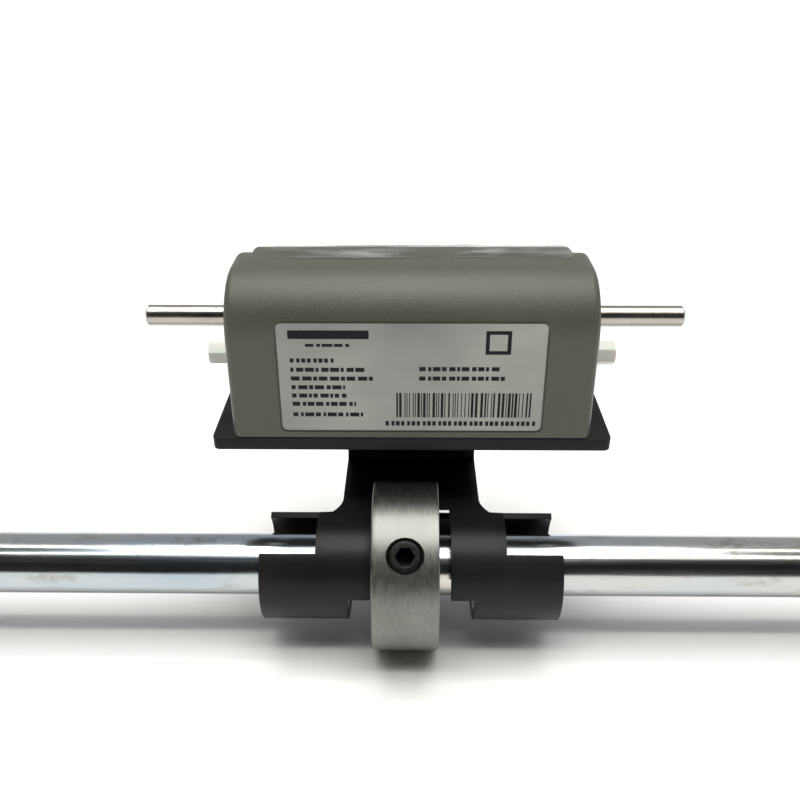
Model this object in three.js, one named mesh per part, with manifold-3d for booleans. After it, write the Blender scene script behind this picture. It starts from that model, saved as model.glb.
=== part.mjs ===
// A six-digit length-measuring counter on a swivel bracket. Millimetres, +Z up.
//
// The origin is on the axis of the mounting rod, midway along the bracket. +X runs
// along the rod, +Y from the rating label towards the reading window, +Z upwards.
// Every shaft of the counter runs along X, so each axis is a point [y, z].

import * as THREE from "three";
import { mergeVertices } from "three/addons/utils/BufferGeometryUtils.js";
import Module from "manifold-3d";

const wasm = await Module();
wasm.setup();

// ---------------------------------------------------------------- driving dimensions

const GAP = 0.3; // clearance left between neighbouring pieces

const ROD = { radius: 9.525, length: 305, chamfer: 1 };
const COLLAR = { radius: 26, left: -11.7, right: 8.3, chamfer: 0.6 };
const SET_SCREW = { radius: 5, inner: 10.2, outer: 24.9, elevation: 45, socket: 5 };

const SHEET = 2; // thickness of the bracket's steel sheet
const TUBE = { radius: 15.85, halfLength: 45.3, freeEdge: 37 }; // rolled part, mid-sheet
const STRAP = { inner: 12, lowerInner: 19.2, outer: 28.6 };
const NECK = { halfWidth: 21.5, riser: 36.6, rear: 60, bend: 2.5, flare: 7.1, shoulder: 4.5 };
const SLOT = { wideRear: 8.4, narrowRear: 22.5 };
const FRONT_TAB_ELEVATION = 50; // upper edge of the outer tabs, in degrees

const PLATE = { halfWidth: 59.4, thickness: 4.2, top: 43.1, corner: 2 };
const HOUSING = { halfWidth: 53, front: 5.6, rear: 61.6, top: 90.8, wall: 2.2 };
const HOUSING_BASE = PLATE.top + GAP;
const SHOULDER = { z: 73.8, lean: 0.8, radius: 17 }; // the rounded front of the housing
const SIDE_DRAFT = 0.00006; // narrowing of the half-width for each millimetre of height
const EDGE_FILLET = 2;
const SLOPE = { top: [36, HOUSING.top], end: [HOUSING.rear, 72] }; // the window face
const BEZEL = { front: 22.4, full: 28.8, halfWidth: 47.6, height: 1.6, down: 28.5 };
const LENS = { halfWidth: 36.7, from: 13.3, to: 27.1, thickness: 1.5 };
const LENS_LEDGE = 1.7;
const FILM = { left: -41.5, right: 46.4, front: 26, thickness: 0.3 };
const LABEL = { width: 76, height: 34, corner: 2.2, bottom: 46.5, thickness: 0.3 };

const DRIVE_SHAFT = { radius: 3.175, left: -79.1, right: 80.6, axis: [25, 74.2] };
const WHEEL_SHAFT_RADIUS = 2.5;
const PINION_SHAFT_RADIUS = 1.2;
const RESET_SPINDLE = { radius: 2, halfLength: 60 };
const RESET_HEX = { flats: 7.4, inner: 46.5, outer: 68.6, bore: 63 };

const DRIVE_MESH = { module: 0.8, pinion: 12, gear: 36 }; // three turns in, one out
const CARRY_MESH = { module: 1.05, pinion: 8, gear: 20 };
const RESET_MESH = { module: 0.6, pinion: 15, gear: 45 };

const WHEEL = { count: 6, first: -28.9, pitch: 10.3, gear: 2.2, drum: 6, carry: 1.6, radius: 12.8 };
const CARRY = { hub: 7.5, clearTip: 9.3 };

const SIDE_PLATE = { thickness: 1.6, left: -33, right: 33, foot: 8 };
const TIE_BAR = { radius: 2.5, spigot: 1.5, axes: [[18, 52], [33, 83]] };

const BRACKET_SCREWS = [[-13, 44], [13, 44], [-13, 55.5], [13, 55.5]];
const HOUSING_SCREWS = [[-48, 13], [48, 13], [-48, 40], [48, 40]];
const FRAME_SCREWS = [[-28.5, 19], [28.5, 19], [-28.5, 40], [28.5, 40]];
const M4 = { shank: 2, head: 3.8, headHeight: 2.4, nut: 7, nutHeight: 2.4 };
const M3 = { shank: 1.5, head: 2.8, headHeight: 1.9 };

// ---------------------------------------------------------------- axes of the gear train

const degrees = (value) => (value * Math.PI) / 180;

const polar = ([y, z], distance, angle) => [
  y + distance * Math.cos(angle),
  z + distance * Math.sin(angle),
];

const centres = (mesh) => ((mesh.pinion + mesh.gear) * mesh.module) / 2;

const TO_WHEELS = degrees(-32); // from the drive shaft to the number wheels
const TO_PINIONS = degrees(205); // from the number wheels to the transfer pinions
const TO_RESET = degrees(-55.5); // from the number wheels to the reset spindle

const WHEEL_AXIS = polar(DRIVE_SHAFT.axis, centres(DRIVE_MESH), TO_WHEELS);
const PINION_AXIS = polar(WHEEL_AXIS, centres(CARRY_MESH), TO_PINIONS);
const RESET_AXIS = polar(WHEEL_AXIS, centres(RESET_MESH), TO_RESET);

// ---------------------------------------------------------------- finishes

const finish = (color, roughness, metalness) =>
  new THREE.MeshStandardMaterial({ color, roughness, metalness });

const zincPlate = () => finish(0xb9bec2, 0.25, 1);
const turnedAluminium = () => finish(0xb4b5b3, 0.4, 1);
const blackOxide = () => finish(0x17171a, 0.45, 0.7);
const blackPaint = () => finish(0x141415, 0.5, 0.1);
const greyMoulding = () => finish(0x6f7166, 0.55, 0);
const whiteNylon = () => finish(0xe4e8e4, 0.45, 0);
const stainless = () => finish(0xc6c2b8, 0.28, 1);
const silverFoil = () => finish(0xcfd0d2, 0.35, 0.6);
const clearPlastic = () => finish(0xe8eef0, 0.1, 0);
const brightZinc = () => finish(0xa7aaad, 0.35, 1);
const brass = () => finish(0xb08d4a, 0.35, 1);
const blackMoulding = () => finish(0x1c1c1d, 0.5, 0);
const acetal = () => finish(0xd9d6c8, 0.5, 0);

// ---------------------------------------------------------------- solids

// Joins coincident vertices, drops empty triangles and turns every face outwards.
function closed(geometry) {
  geometry.deleteAttribute("normal");
  geometry.deleteAttribute("uv");
  const merged = mergeVertices(geometry, 1e-4);
  const corner = (i) => new THREE.Vector3().fromBufferAttribute(merged.attributes.position, i);
  const kept = [];
  let volume = 0;
  for (let i = 0; i < merged.index.count; i += 3) {
    const [a, b, c] = [0, 1, 2].map((k) => merged.index.getX(i + k));
    if (a !== b && b !== c && c !== a) {
      kept.push(a, b, c);
      volume += corner(a).dot(corner(b).cross(corner(c)));
    }
  }
  merged.setIndex(volume < 0 ? kept.reverse() : kept);
  return merged;
}

function solid(geometry) {
  const mesh = closed(geometry);
  return new wasm.Manifold(new wasm.Mesh({
    numProp: 3,
    vertProperties: new Float32Array(mesh.attributes.position.array),
    triVerts: new Uint32Array(mesh.index.array),
  }));
}

function fromSolid(manifold) {
  const { vertProperties, triVerts } = manifold.getMesh();
  const geometry = new THREE.BufferGeometry();
  geometry.setAttribute("position", new THREE.BufferAttribute(new Float32Array(vertProperties), 3));
  geometry.setIndex(new THREE.BufferAttribute(new Uint32Array(triVerts), 1));
  return geometry;
}

const joined = (...geometries) => fromSolid(
  geometries.map(solid).reduce((whole, next) => whole.add(next)));

const cut = (geometry, ...tools) => fromSolid(
  tools.map(solid).reduce((whole, tool) => whole.subtract(tool), solid(geometry)));

// A [y, z] outline carried along X.
const ALONG_X = new THREE.Matrix4().makeBasis(
  new THREE.Vector3(0, 1, 0), new THREE.Vector3(0, 0, 1), new THREE.Vector3(1, 0, 0));

function alongX(shape, x0, x1) {
  const settings = { depth: x1 - x0, bevelEnabled: false, curveSegments: 8 };
  return new THREE.ExtrudeGeometry(shape, settings).applyMatrix4(ALONG_X).translate(x0, 0, 0);
}

// An [x, y] outline carried up Z.
function upZ(shape, z0, z1) {
  const settings = { depth: z1 - z0, bevelEnabled: false, curveSegments: 4 };
  return new THREE.ExtrudeGeometry(shape, settings).translate(0, 0, z0);
}

const polygon = (points) => new THREE.Shape(points.map(([a, b]) => new THREE.Vector2(a, b)));

// A profile of [along, radius] points turned about X, or about Z.
function lathe(outline, segments) {
  const points = outline.map(([along, radius]) => new THREE.Vector2(radius, along));
  return new THREE.LatheGeometry(points, segments);
}

const turned = (outline, segments = 20) => lathe(outline, segments).rotateZ(-Math.PI / 2);
const turnedZ = (outline, segments = 12) => lathe(outline, segments).rotateX(Math.PI / 2);

const barOutline = (a0, a1, radius, chamfer) => [
  [a0, 0], [a0, radius - chamfer], [a0 + chamfer, radius],
  [a1 - chamfer, radius], [a1, radius - chamfer], [a1, 0],
];

const ringOutline = (a0, a1, outer, inner, chamfer = 0) => [
  [a0, inner], [a0, outer - chamfer], [a0 + chamfer, outer],
  [a1 - chamfer, outer], [a1, outer - chamfer], [a1, inner], [a0, inner],
];

const bar = (x0, x1, radius, segments) => turned(barOutline(x0, x1, radius, 0), segments);
const ring = (x0, x1, outer, inner, segments) => turned(ringOutline(x0, x1, outer, inner), segments);
const post = (x, y, z0, z1, radius) => turnedZ(barOutline(z0, z1, radius, 0)).translate(x, y, 0);

function box(x0, x1, y0, y1, z0, z1) {
  const middle = [(x0 + x1) / 2, (y0 + y1) / 2, (z0 + z1) / 2];
  return new THREE.BoxGeometry(x1 - x0, y1 - y0, z1 - z0).translate(...middle);
}

function roundedRectangle(x0, x1, y0, y1, radius) {
  const shape = new THREE.Shape();
  shape.absarc(x1 - radius, y0 + radius, radius, -Math.PI / 2, 0);
  shape.absarc(x1 - radius, y1 - radius, radius, 0, Math.PI / 2);
  shape.absarc(x0 + radius, y1 - radius, radius, Math.PI / 2, Math.PI);
  shape.absarc(x0 + radius, y0 + radius, radius, Math.PI, Math.PI * 1.5);
  return shape;
}

function circleHole(radius, segments = 12) {
  const points = [];
  for (let i = 0; i < segments; i += 1) {
    points.push(new THREE.Vector2(...polar([0, 0], radius, (i / segments) * 2 * Math.PI)));
  }
  return new THREE.Path(points);
}

function discShape(radius, bore, segments) {
  const shape = new THREE.Shape(circleHole(radius, segments).getPoints());
  shape.holes.push(circleHole(bore));
  return shape;
}

function hexagon(acrossFlats, phase = 0) {
  const corners = [0, 1, 2, 3, 4, 5].map(
    (i) => polar([0, 0], acrossFlats / Math.sqrt(3), phase + (i * Math.PI) / 3));
  return polygon(corners);
}

function piece(name, geometry, material, [y, z] = [0, 0]) {
  const mesh = new THREE.Mesh(closed(geometry), material);
  mesh.name = name;
  mesh.position.set(0, y, z);
  mesh.geometry.computeVertexNormals();
  return mesh;
}

// ---------------------------------------------------------------- gears

const PRESSURE_ANGLE = degrees(20);
const BACKLASH = 0.3;
const ADDENDUM = 0.85;
const DEDENDUM = 1.2;

const involute = (angle) => Math.tan(angle) - angle;

// An involute spur gear. One tooth is centred on the angle `phase`.
function gearShape(teeth, module, phase, bore) {
  const pitch = (teeth * module) / 2;
  const base = pitch * Math.cos(PRESSURE_ANGLE);
  const tip = pitch + ADDENDUM * module;
  const root = pitch - DEDENDUM * module;
  const atPitch = ((Math.PI * module) / 2 - BACKLASH) / 2 / pitch + involute(PRESSURE_ANGLE);
  const halfAngle = (radius) => atPitch - involute(Math.acos(Math.min(1, base / radius)));
  const flank = teeth < 20 ? [root, pitch, tip] : [root, tip];
  const points = [];
  for (let tooth = 0; tooth < teeth; tooth += 1) {
    const centre = phase + (tooth / teeth) * 2 * Math.PI;
    flank.forEach((radius) => points.push(polar([0, 0], radius, centre - halfAngle(radius))));
    flank.slice().reverse().forEach(
      (radius) => points.push(polar([0, 0], radius, centre + halfAngle(radius))));
  }
  const shape = polygon(points);
  shape.holes.push(circleHole(bore));
  return shape;
}

// A gear's phase when it meshes at `direction` with one whose tooth points along it.
const meshing = (teeth, direction) => direction + Math.PI + Math.PI / teeth;

// A disc with two teeth, which moves the next transfer pinion on once a turn.
function carryShape(tip, middle, bore) {
  const spacing = Math.PI / CARRY_MESH.gear;
  const points = [];
  [middle - spacing, middle + spacing].forEach((centre) => {
    points.push(polar([0, 0], CARRY.hub, centre - 0.09), polar([0, 0], tip, centre - 0.045));
    points.push(polar([0, 0], tip, centre + 0.045), polar([0, 0], CARRY.hub, centre + 0.09));
  });
  for (let step = 1; step < 12; step += 1) {
    points.push(polar([0, 0], CARRY.hub, middle + spacing + 0.09 + step * 0.48));
  }
  const shape = polygon(points);
  shape.holes.push(circleHole(bore));
  return shape;
}

// ---------------------------------------------------------------- rod and collar

function mountingRod() {
  const outline = barOutline(-ROD.length / 2, ROD.length / 2, ROD.radius, ROD.chamfer);
  return piece("mounting_rod", turned(outline, 36), zincPlate());
}

const SCREW_TILT = new THREE.Matrix4().makeRotationX(degrees(90 - SET_SCREW.elevation));
const COLLAR_MIDDLE = (COLLAR.left + COLLAR.right) / 2;

function setCollar() {
  const body = turned(ringOutline(
    COLLAR.left, COLLAR.right, COLLAR.radius, ROD.radius + GAP, COLLAR.chamfer), 40);
  const mouth = SET_SCREW.radius + GAP;
  const hole = turnedZ([[5, 0], [5, mouth], [25.2, mouth], [26.4, mouth + 1.2], [26.4, 0]], 20);
  hole.applyMatrix4(SCREW_TILT).translate(COLLAR_MIDDLE, 0, 0);
  return piece("set_collar", cut(body, hole), turnedAluminium());
}

function collarSetScrew() {
  const { radius, inner, outer, socket } = SET_SCREW;
  const body = turnedZ([
    [inner, 0], [inner, 2.6], [inner + 2, radius], [outer - 0.5, radius],
    [outer, radius - 0.5], [outer, 0],
  ], 24);
  const key = upZ(hexagon(socket), outer - 5, outer + 1);
  const screw = cut(body, key).applyMatrix4(SCREW_TILT).translate(COLLAR_MIDDLE, 0, 0);
  return piece("collar_set_screw", screw, blackOxide());
}

// ---------------------------------------------------------------- swivel bracket

// The mid-sheet path in the Y-Z plane: up the rear of the tube, round under the rod
// and over its front, back along the shelf, up the riser and along the flange.
function bracketPath() {
  const path = [];
  const arc = ([y, z], radius, from, to, steps) => {
    for (let i = 0; i <= steps; i += 1) {
      const angle = degrees(from + ((to - from) * i) / steps);
      path.push(polar([y, z], radius, angle));
    }
  };
  const flangeMiddle = PLATE.top - PLATE.thickness - GAP - SHEET / 2;
  const { riser, bend, rear } = NECK;
  arc([0, 0], TUBE.radius, TUBE.freeEdge, -270, 28);
  arc([riser - bend, TUBE.radius + bend], bend, -90, 0, 3);
  arc([riser + bend, flangeMiddle - bend], bend, 180, 90, 3);
  path.push([rear, flangeMiddle]);
  return path;
}

// The outline of a sheet that follows a path, with square ends.
function sheetOutline(path, thickness) {
  const sides = [[], []];
  path.forEach((point, i) => {
    const before = path[Math.max(i - 1, 0)];
    const after = path[Math.min(i + 1, path.length - 1)];
    const heading = Math.atan2(after[1] - before[1], after[0] - before[0]);
    sides[0].push(polar(point, thickness / 2, heading + Math.PI / 2));
    sides[1].unshift(polar(point, thickness / 2, heading - Math.PI / 2));
  });
  return [...sides[0], ...sides[1]];
}

function swivelBracket() {
  const half = TUBE.halfLength;
  const sheet = alongX(polygon(sheetOutline(bracketPath(), SHEET)), -half, half);

  // Windows over the rod, outside the two straps.
  const far = 80;
  const sector = polygon([
    [0, 0], polar([0, 0], far, degrees(180 - FRONT_TAB_ELEVATION)),
    [0, far], polar([0, 0], far, degrees(TUBE.freeEdge)),
  ]);
  const windows = [[-half - 1, -STRAP.outer], [STRAP.outer, half + 1]].map(
    ([x0, x1]) => alongX(sector, x0, x1));

  // The shelf narrows from the shoulders to the neck in a quarter circle.
  const { halfWidth, flare, shoulder } = NECK;
  const beside = new THREE.Shape();
  beside.moveTo(far, shoulder);
  beside.lineTo(STRAP.outer, shoulder);
  beside.absarc(STRAP.outer, shoulder + flare, flare, -Math.PI / 2, Math.PI, true);
  beside.lineTo(halfWidth, far);
  beside.lineTo(far, far);
  const right = upZ(beside, 12.5, far);
  const left = right.clone().rotateY(Math.PI).translate(0, 0, 12.5 + far);

  // Open below the straps near the collar, and slotted for the collar above and behind.
  const under = box(-STRAP.lowerInner, STRAP.lowerInner, -20, 20, -20, 0);
  const behind = box(COLLAR.left - GAP, COLLAR.right + GAP, 4, 20, -1, 12.5);
  const wideSlot = box(-STRAP.inner, STRAP.inner, -20, SLOT.wideRear, -20, 20);
  const narrowSlot = box(
    COLLAR.left - GAP, COLLAR.right + GAP, SLOT.wideRear - 1, SLOT.narrowRear, 12.5, 20);
  const holes = BRACKET_SCREWS.map(([x, y]) => post(x, y, 35, 41, M4.shank + GAP));

  const bracket = cut(sheet, ...windows, left, right, under, behind, wideSlot, narrowSlot, ...holes);
  return piece("swivel_bracket", bracket, blackPaint());
}

function bracketBush(name, x0) {
  const bore = ROD.radius + GAP;
  const outer = TUBE.radius - SHEET / 2 - GAP;
  const width = STRAP.outer - STRAP.lowerInner - 0.6;
  return piece(name, ring(x0, x0 + width, outer, bore, 24), whiteNylon());
}

// ---------------------------------------------------------------- fasteners

// A pan head under z = 0 and a shank above it.
function screwGeometry(size, length) {
  const head = size.headHeight;
  const body = turnedZ([
    [-head, 0], [-head, size.head * 0.7], [-head * 0.5, size.head], [0, size.head],
    [0, size.shank], [length, size.shank], [length, 0],
  ], 12);
  return cut(body, upZ(hexagon(size.shank * 1.25), -head - 1, -head + 1.1));
}

function screws(name, size, places, seat, length) {
  return places.map(([x, y], i) => {
    const screw = piece(`${name}_${i + 1}`, screwGeometry(size, length), brightZinc());
    screw.position.set(x, y, seat);
    return screw;
  });
}

function bracketNuts() {
  return BRACKET_SCREWS.map(([x, y], i) => {
    const shape = hexagon(M4.nut);
    shape.holes.push(circleHole(M4.shank + GAP));
    const nut = piece(`bracket_nut_${i + 1}`, upZ(shape, 0, M4.nutHeight), brightZinc());
    nut.position.set(x, y, HOUSING_BASE);
    return nut;
  });
}

// ---------------------------------------------------------------- plate and housing

function basePlate() {
  const { halfWidth, thickness, top, corner } = PLATE;
  const outline = roundedRectangle(-halfWidth, halfWidth, HOUSING.front, HOUSING.rear, corner);
  const plate = upZ(outline, top - thickness, top);
  const drilled = (places, radius) => places.map(
    ([x, y]) => post(x, y, top - thickness - 1, top + 1, radius));
  const holes = [
    ...drilled(BRACKET_SCREWS, M4.shank + GAP),
    ...drilled([...HOUSING_SCREWS, ...FRAME_SCREWS], M3.shank + GAP),
  ];
  return piece("base_plate", cut(plate, ...holes), blackPaint());
}

const slopeAngle = Math.atan2(SLOPE.end[1] - SLOPE.top[1], SLOPE.end[0] - SLOPE.top[0]);

// A point `down` the window face and `above` it.
const onSlope = (down, above) =>
  polar(polar(SLOPE.top, down, slopeAngle), above, slopeAngle + Math.PI / 2);

// Where a line parallel to the window face, `above` it, meets the height z.
function slopeAt(z, above) {
  const [y0, z0] = onSlope(0, above);
  return [y0 + (z - z0) / Math.tan(slopeAngle), z];
}

// The housing's side outline, drawn in by `inset`, down to the height `base`.
function housingOutline(inset, base) {
  const { front, rear, top } = HOUSING;
  const shape = new THREE.Shape();
  shape.moveTo(front + inset, base);
  shape.lineTo(front + SHOULDER.lean + inset, SHOULDER.z);
  const centre = front + SHOULDER.lean + SHOULDER.radius;
  shape.absarc(centre, SHOULDER.z, SHOULDER.radius - inset, Math.PI, Math.PI / 2, true);
  shape.lineTo(...slopeAt(top - inset, -inset));
  const rearZ = SLOPE.end[1] - inset * 0.6;
  const [kneeY, kneeZ] = slopeAt(rearZ + 3, -inset);
  shape.lineTo(kneeY, kneeZ);
  shape.quadraticCurveTo(rear - inset, rearZ, rear - inset, rearZ - 4);
  shape.lineTo(rear - inset, base);
  return shape;
}

function housingBlock() {
  const { halfWidth, front, rear } = HOUSING;
  const block = new THREE.ExtrudeGeometry(housingOutline(0, HOUSING_BASE - 6), {
    depth: (halfWidth - EDGE_FILLET) * 2, bevelEnabled: true, bevelThickness: EDGE_FILLET,
    bevelSize: EDGE_FILLET, bevelOffset: -EDGE_FILLET, bevelSegments: 2, curveSegments: 8,
  });
  block.applyMatrix4(ALONG_X).translate(EDGE_FILLET - halfWidth, 0, 0);
  const position = block.attributes.position;
  for (let i = 0; i < position.count; i += 1) {
    const narrowing = 1 - SIDE_DRAFT * (position.getZ(i) - HOUSING_BASE);
    position.setX(i, position.getX(i) * narrowing);
  }
  const below = box(-halfWidth - 5, halfWidth + 5, front - 5, rear + 5, 30, HOUSING_BASE);
  return cut(block, below);
}

function bezelPad() {
  const { front, full, halfWidth, height, down } = BEZEL;
  const inside = HOUSING.top - 5;
  const top = HOUSING.top + height;
  const outline = polygon([
    [front, inside], [front, HOUSING.top], [full, top], slopeAt(top, height),
    onSlope(down, height), onSlope(down + 1.5, 0), onSlope(down + 1.5, -5),
  ]);
  const edge = 1.2;
  const pad = new THREE.ExtrudeGeometry(outline, {
    depth: (halfWidth - edge) * 2, bevelEnabled: true, bevelThickness: edge,
    bevelSize: edge, bevelOffset: -edge, bevelSegments: 2,
  });
  return pad.applyMatrix4(ALONG_X).translate(edge - halfWidth, 0, 0);
}

const slopeBlock = (halfWidth, from, to, low, high) => alongX(
  polygon([onSlope(from, low), onSlope(to, low), onSlope(to, high), onSlope(from, high)]),
  -halfWidth, halfWidth);

function housing() {
  const inner = HOUSING.halfWidth - HOUSING.wall;
  const cavity = alongX(housingOutline(HOUSING.wall, HOUSING_BASE - 1), -inner, inner);
  const bossTop = 56;
  const bosses = HOUSING_SCREWS.map(([x, y]) => post(x, y, HOUSING_BASE, bossTop, 3.2));
  const bores = HOUSING_SCREWS.map(([x, y]) => post(x, y, 40, bossTop - 2, M3.shank + GAP));
  const { halfWidth, from, to, thickness } = LENS;
  const seat = slopeBlock(
    halfWidth + GAP, from - GAP, to + GAP, BEZEL.height - thickness - GAP, BEZEL.height + 3);
  const sight = slopeBlock(
    halfWidth - LENS_LEDGE, from + LENS_LEDGE, to - LENS_LEDGE, -8, BEZEL.height + 3);
  const wide = HOUSING.halfWidth + 2;
  const shaftHole = bar(-wide, wide, DRIVE_SHAFT.radius + 0.8, 20).translate(0, ...DRIVE_SHAFT.axis);
  const hexHole = bar(-wide, wide, RESET_HEX.flats / 2 + 0.9, 20).translate(0, ...RESET_AXIS);

  const shell = cut(joined(housingBlock(), bezelPad()), cavity);
  return piece("housing", cut(joined(shell, ...bosses), ...bores, seat, sight, shaftHole, hexHole),
    greyMoulding());
}

function windowLens() {
  const { halfWidth, from, to, thickness } = LENS;
  const lens = slopeBlock(halfWidth, from, to, BEZEL.height - thickness, BEZEL.height);
  return piece("window_lens", lens, clearPlastic());
}

// A protective film laid over the bezel, bent where the top meets the window face.
function windowFilm() {
  const rampShare = (FILM.front - BEZEL.front) / (BEZEL.full - BEZEL.front);
  const line = (above) => [
    [FILM.front, HOUSING.top + BEZEL.height * rampShare + above],
    [BEZEL.full, HOUSING.top + BEZEL.height + above],
    slopeAt(HOUSING.top + BEZEL.height + above, BEZEL.height + above),
    onSlope(BEZEL.down, BEZEL.height + above),
  ];
  const film = polygon([...line(GAP), ...line(GAP + FILM.thickness).reverse()]);
  return piece("window_film", alongX(film, FILM.left, FILM.right), clearPlastic());
}

// The label stands on the housing's front face and leans with it.
function ratingLabel() {
  const { width, height, corner, bottom, thickness } = LABEL;
  const outline = roundedRectangle(-width / 2, width / 2, 0, height, corner);
  const label = piece("rating_label", upZ(outline, 0, thickness), silverFoil());
  const lean = Math.atan2(SHOULDER.lean, SHOULDER.z - HOUSING_BASE);
  const atBottom = HOUSING.front + Math.tan(lean) * (bottom - HOUSING_BASE);
  label.rotation.x = Math.PI / 2 - lean;
  label.position.set(0, atBottom - GAP, bottom);
  return label;
}

// ---------------------------------------------------------------- counter frame

function sidePlate(name, x0, footX, holes) {
  const outline = polygon([
    [13, HOUSING_BASE], [13, 75], [20, 85], [35, 86.5], [56, 71], [56, HOUSING_BASE],
  ]);
  const plate = alongX(outline, x0, x0 + SIDE_PLATE.thickness);
  const foot = box(...footX, 14, 48, HOUSING_BASE, HOUSING_BASE + SIDE_PLATE.thickness);
  const tools = holes.map(([axis, radius]) => bar(x0 - 1, x0 + 3, radius, 12).translate(0, ...axis));
  const screwHoles = FRAME_SCREWS.map(([x, y]) => post(x, y, 40, 48, M3.shank + GAP));
  return piece(name, cut(joined(plate, foot), ...tools, ...screwHoles), brightZinc());
}

function sidePlates() {
  const { thickness, left, right, foot } = SIDE_PLATE;
  const shared = [
    [DRIVE_SHAFT.axis, BUSH.body + GAP], [PINION_AXIS, PINION_SHAFT_RADIUS + GAP],
    [RESET_AXIS, RESET_SPINDLE.radius + GAP],
    ...TIE_BAR.axes.map((axis) => [axis, TIE_BAR.spigot + GAP]),
  ];
  const inside = left + thickness;
  return [
    sidePlate("side_plate_left", left, [inside - 0.2, inside + foot],
      [...shared, [WHEEL_AXIS, SLEEVE.radius + GAP]]),
    sidePlate("side_plate_right", right, [right - foot, right + 0.2],
      [...shared, [WHEEL_AXIS, WHEEL_SHAFT_RADIUS + GAP]]),
  ];
}

function tieBars() {
  const { radius, spigot, axes } = TIE_BAR;
  const inner = [SIDE_PLATE.left + SIDE_PLATE.thickness + GAP, SIDE_PLATE.right - GAP];
  const outer = [SIDE_PLATE.left, SIDE_PLATE.right + SIDE_PLATE.thickness];
  const outline = [
    [outer[0], 0], [outer[0], spigot], [inner[0], spigot], [inner[0], radius],
    [inner[1], radius], [inner[1], spigot], [outer[1], spigot], [outer[1], 0],
  ];
  return axes.map((axis, i) => piece(`tie_bar_${i + 1}`, turned(outline, 16), brightZinc(), axis));
}

const BUSH = { body: 5, flange: 5.9, flangeWidth: 1.2 };

// A flanged bush, its flange on the inner side of the plate.
function shaftBush(name, outerX, inward) {
  const bore = DRIVE_SHAFT.radius + GAP;
  const inner = outerX + inward * (SIDE_PLATE.thickness + GAP);
  const end = inner + inward * BUSH.flangeWidth;
  const outline = [
    [outerX, bore], [outerX, BUSH.body], [inner, BUSH.body], [inner, BUSH.flange],
    [end, BUSH.flange], [end, bore], [outerX, bore],
  ];
  return piece(name, turned(outline), brass(), DRIVE_SHAFT.axis);
}

function pinionShaft() {
  const ends = [SIDE_PLATE.left + 0.2, SIDE_PLATE.right + SIDE_PLATE.thickness - 0.2];
  return piece("pinion_shaft", bar(...ends, PINION_SHAFT_RADIUS, 12), stainless(), PINION_AXIS);
}

// ---------------------------------------------------------------- drive

const GEAR_FACE = 4.2; // width of the two drive gears
const DRIVE_GEAR_X = [SIDE_PLATE.left - 1 - GEAR_FACE, SIDE_PLATE.left - 1];
const CLIP = { width: 0.8, outer: 4.8, groove: 2.6, right: 35.2, left: DRIVE_GEAR_X[0] - 6.2 };
const SLEEVE = { radius: 5, end: WHEEL.first - 0.5 };

function driveShaft() {
  const { radius, left, right, axis } = DRIVE_SHAFT;
  const groove = (x) => [
    [x - 0.1, radius], [x - 0.1, CLIP.groove],
    [x + CLIP.width + 0.1, CLIP.groove], [x + CLIP.width + 0.1, radius],
  ];
  const outline = [
    [left, 0], [left, radius - 0.6], [left + 0.6, radius],
    ...groove(CLIP.left), ...groove(CLIP.right),
    [right - 0.6, radius], [right, radius - 0.6], [right, 0],
  ];
  return piece("drive_shaft", turned(outline, 24), stainless(), axis);
}

// The two rings open opposite ways, which keeps the shaft in balance.
function retainingRing(name, x0, opening) {
  const shape = new THREE.Shape();
  const [from, to] = [degrees(opening + 40), degrees(opening + 320)];
  shape.absarc(0, 0, CLIP.outer, from, to, false);
  shape.absarc(0, 0, CLIP.groove + GAP, to, from, true);
  return piece(name, alongX(shape, x0, x0 + CLIP.width), blackOxide(), DRIVE_SHAFT.axis);
}

function driveGear() {
  const bore = DRIVE_SHAFT.radius + GAP;
  const [x0, x1] = DRIVE_GEAR_X;
  const teeth = alongX(gearShape(DRIVE_MESH.pinion, DRIVE_MESH.module, TO_WHEELS, bore), x0, x1);
  const hub = alongX(discShape(5.4, bore, 16), x0 - 4.8, x0);
  return piece("drive_gear", joined(teeth, hub), brass(), DRIVE_SHAFT.axis);
}

// The driver gear's sleeve runs through the side plate and carries the carry disc.
function driverGear() {
  const bore = WHEEL_SHAFT_RADIUS + GAP;
  const phase = meshing(DRIVE_MESH.gear, TO_WHEELS);
  const [x0, x1] = DRIVE_GEAR_X;
  const teeth = alongX(gearShape(DRIVE_MESH.gear, DRIVE_MESH.module, phase, bore), x0, x1);
  const sleeve = alongX(discShape(SLEEVE.radius, bore, 16), x1, SLEEVE.end);
  return piece("driver_gear", joined(teeth, sleeve), brass(), WHEEL_AXIS);
}

// This disc turns once for every three turns in, so its teeth stay short.
function carryDisc() {
  const shape = carryShape(CARRY.clearTip, TO_PINIONS + Math.PI, SLEEVE.radius + GAP);
  const x1 = SLEEVE.end;
  return piece("carry_disc", alongX(shape, x1 - WHEEL.carry, x1), acetal(), WHEEL_AXIS);
}

// ---------------------------------------------------------------- number wheels

function numberWheel(index) {
  const bore = WHEEL_SHAFT_RADIUS + GAP;
  const x0 = WHEEL.first + index * WHEEL.pitch;
  const drumFrom = x0 + WHEEL.gear;
  const drumTo = drumFrom + WHEEL.drum;
  const gear = gearShape(CARRY_MESH.gear, CARRY_MESH.module, TO_PINIONS, bore);
  const tip = (CARRY_MESH.gear / 2 + ADDENDUM) * CARRY_MESH.module;
  const carry = carryShape(tip, TO_PINIONS + Math.PI, bore);
  const wheel = joined(
    alongX(discShape(WHEEL.radius, bore, 30), drumFrom, drumTo),
    alongX(gear, x0, drumFrom),
    alongX(carry, drumTo, drumTo + WHEEL.carry));
  return piece(`number_wheel_${index + 1}`, wheel, blackMoulding(), WHEEL_AXIS);
}

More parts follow.
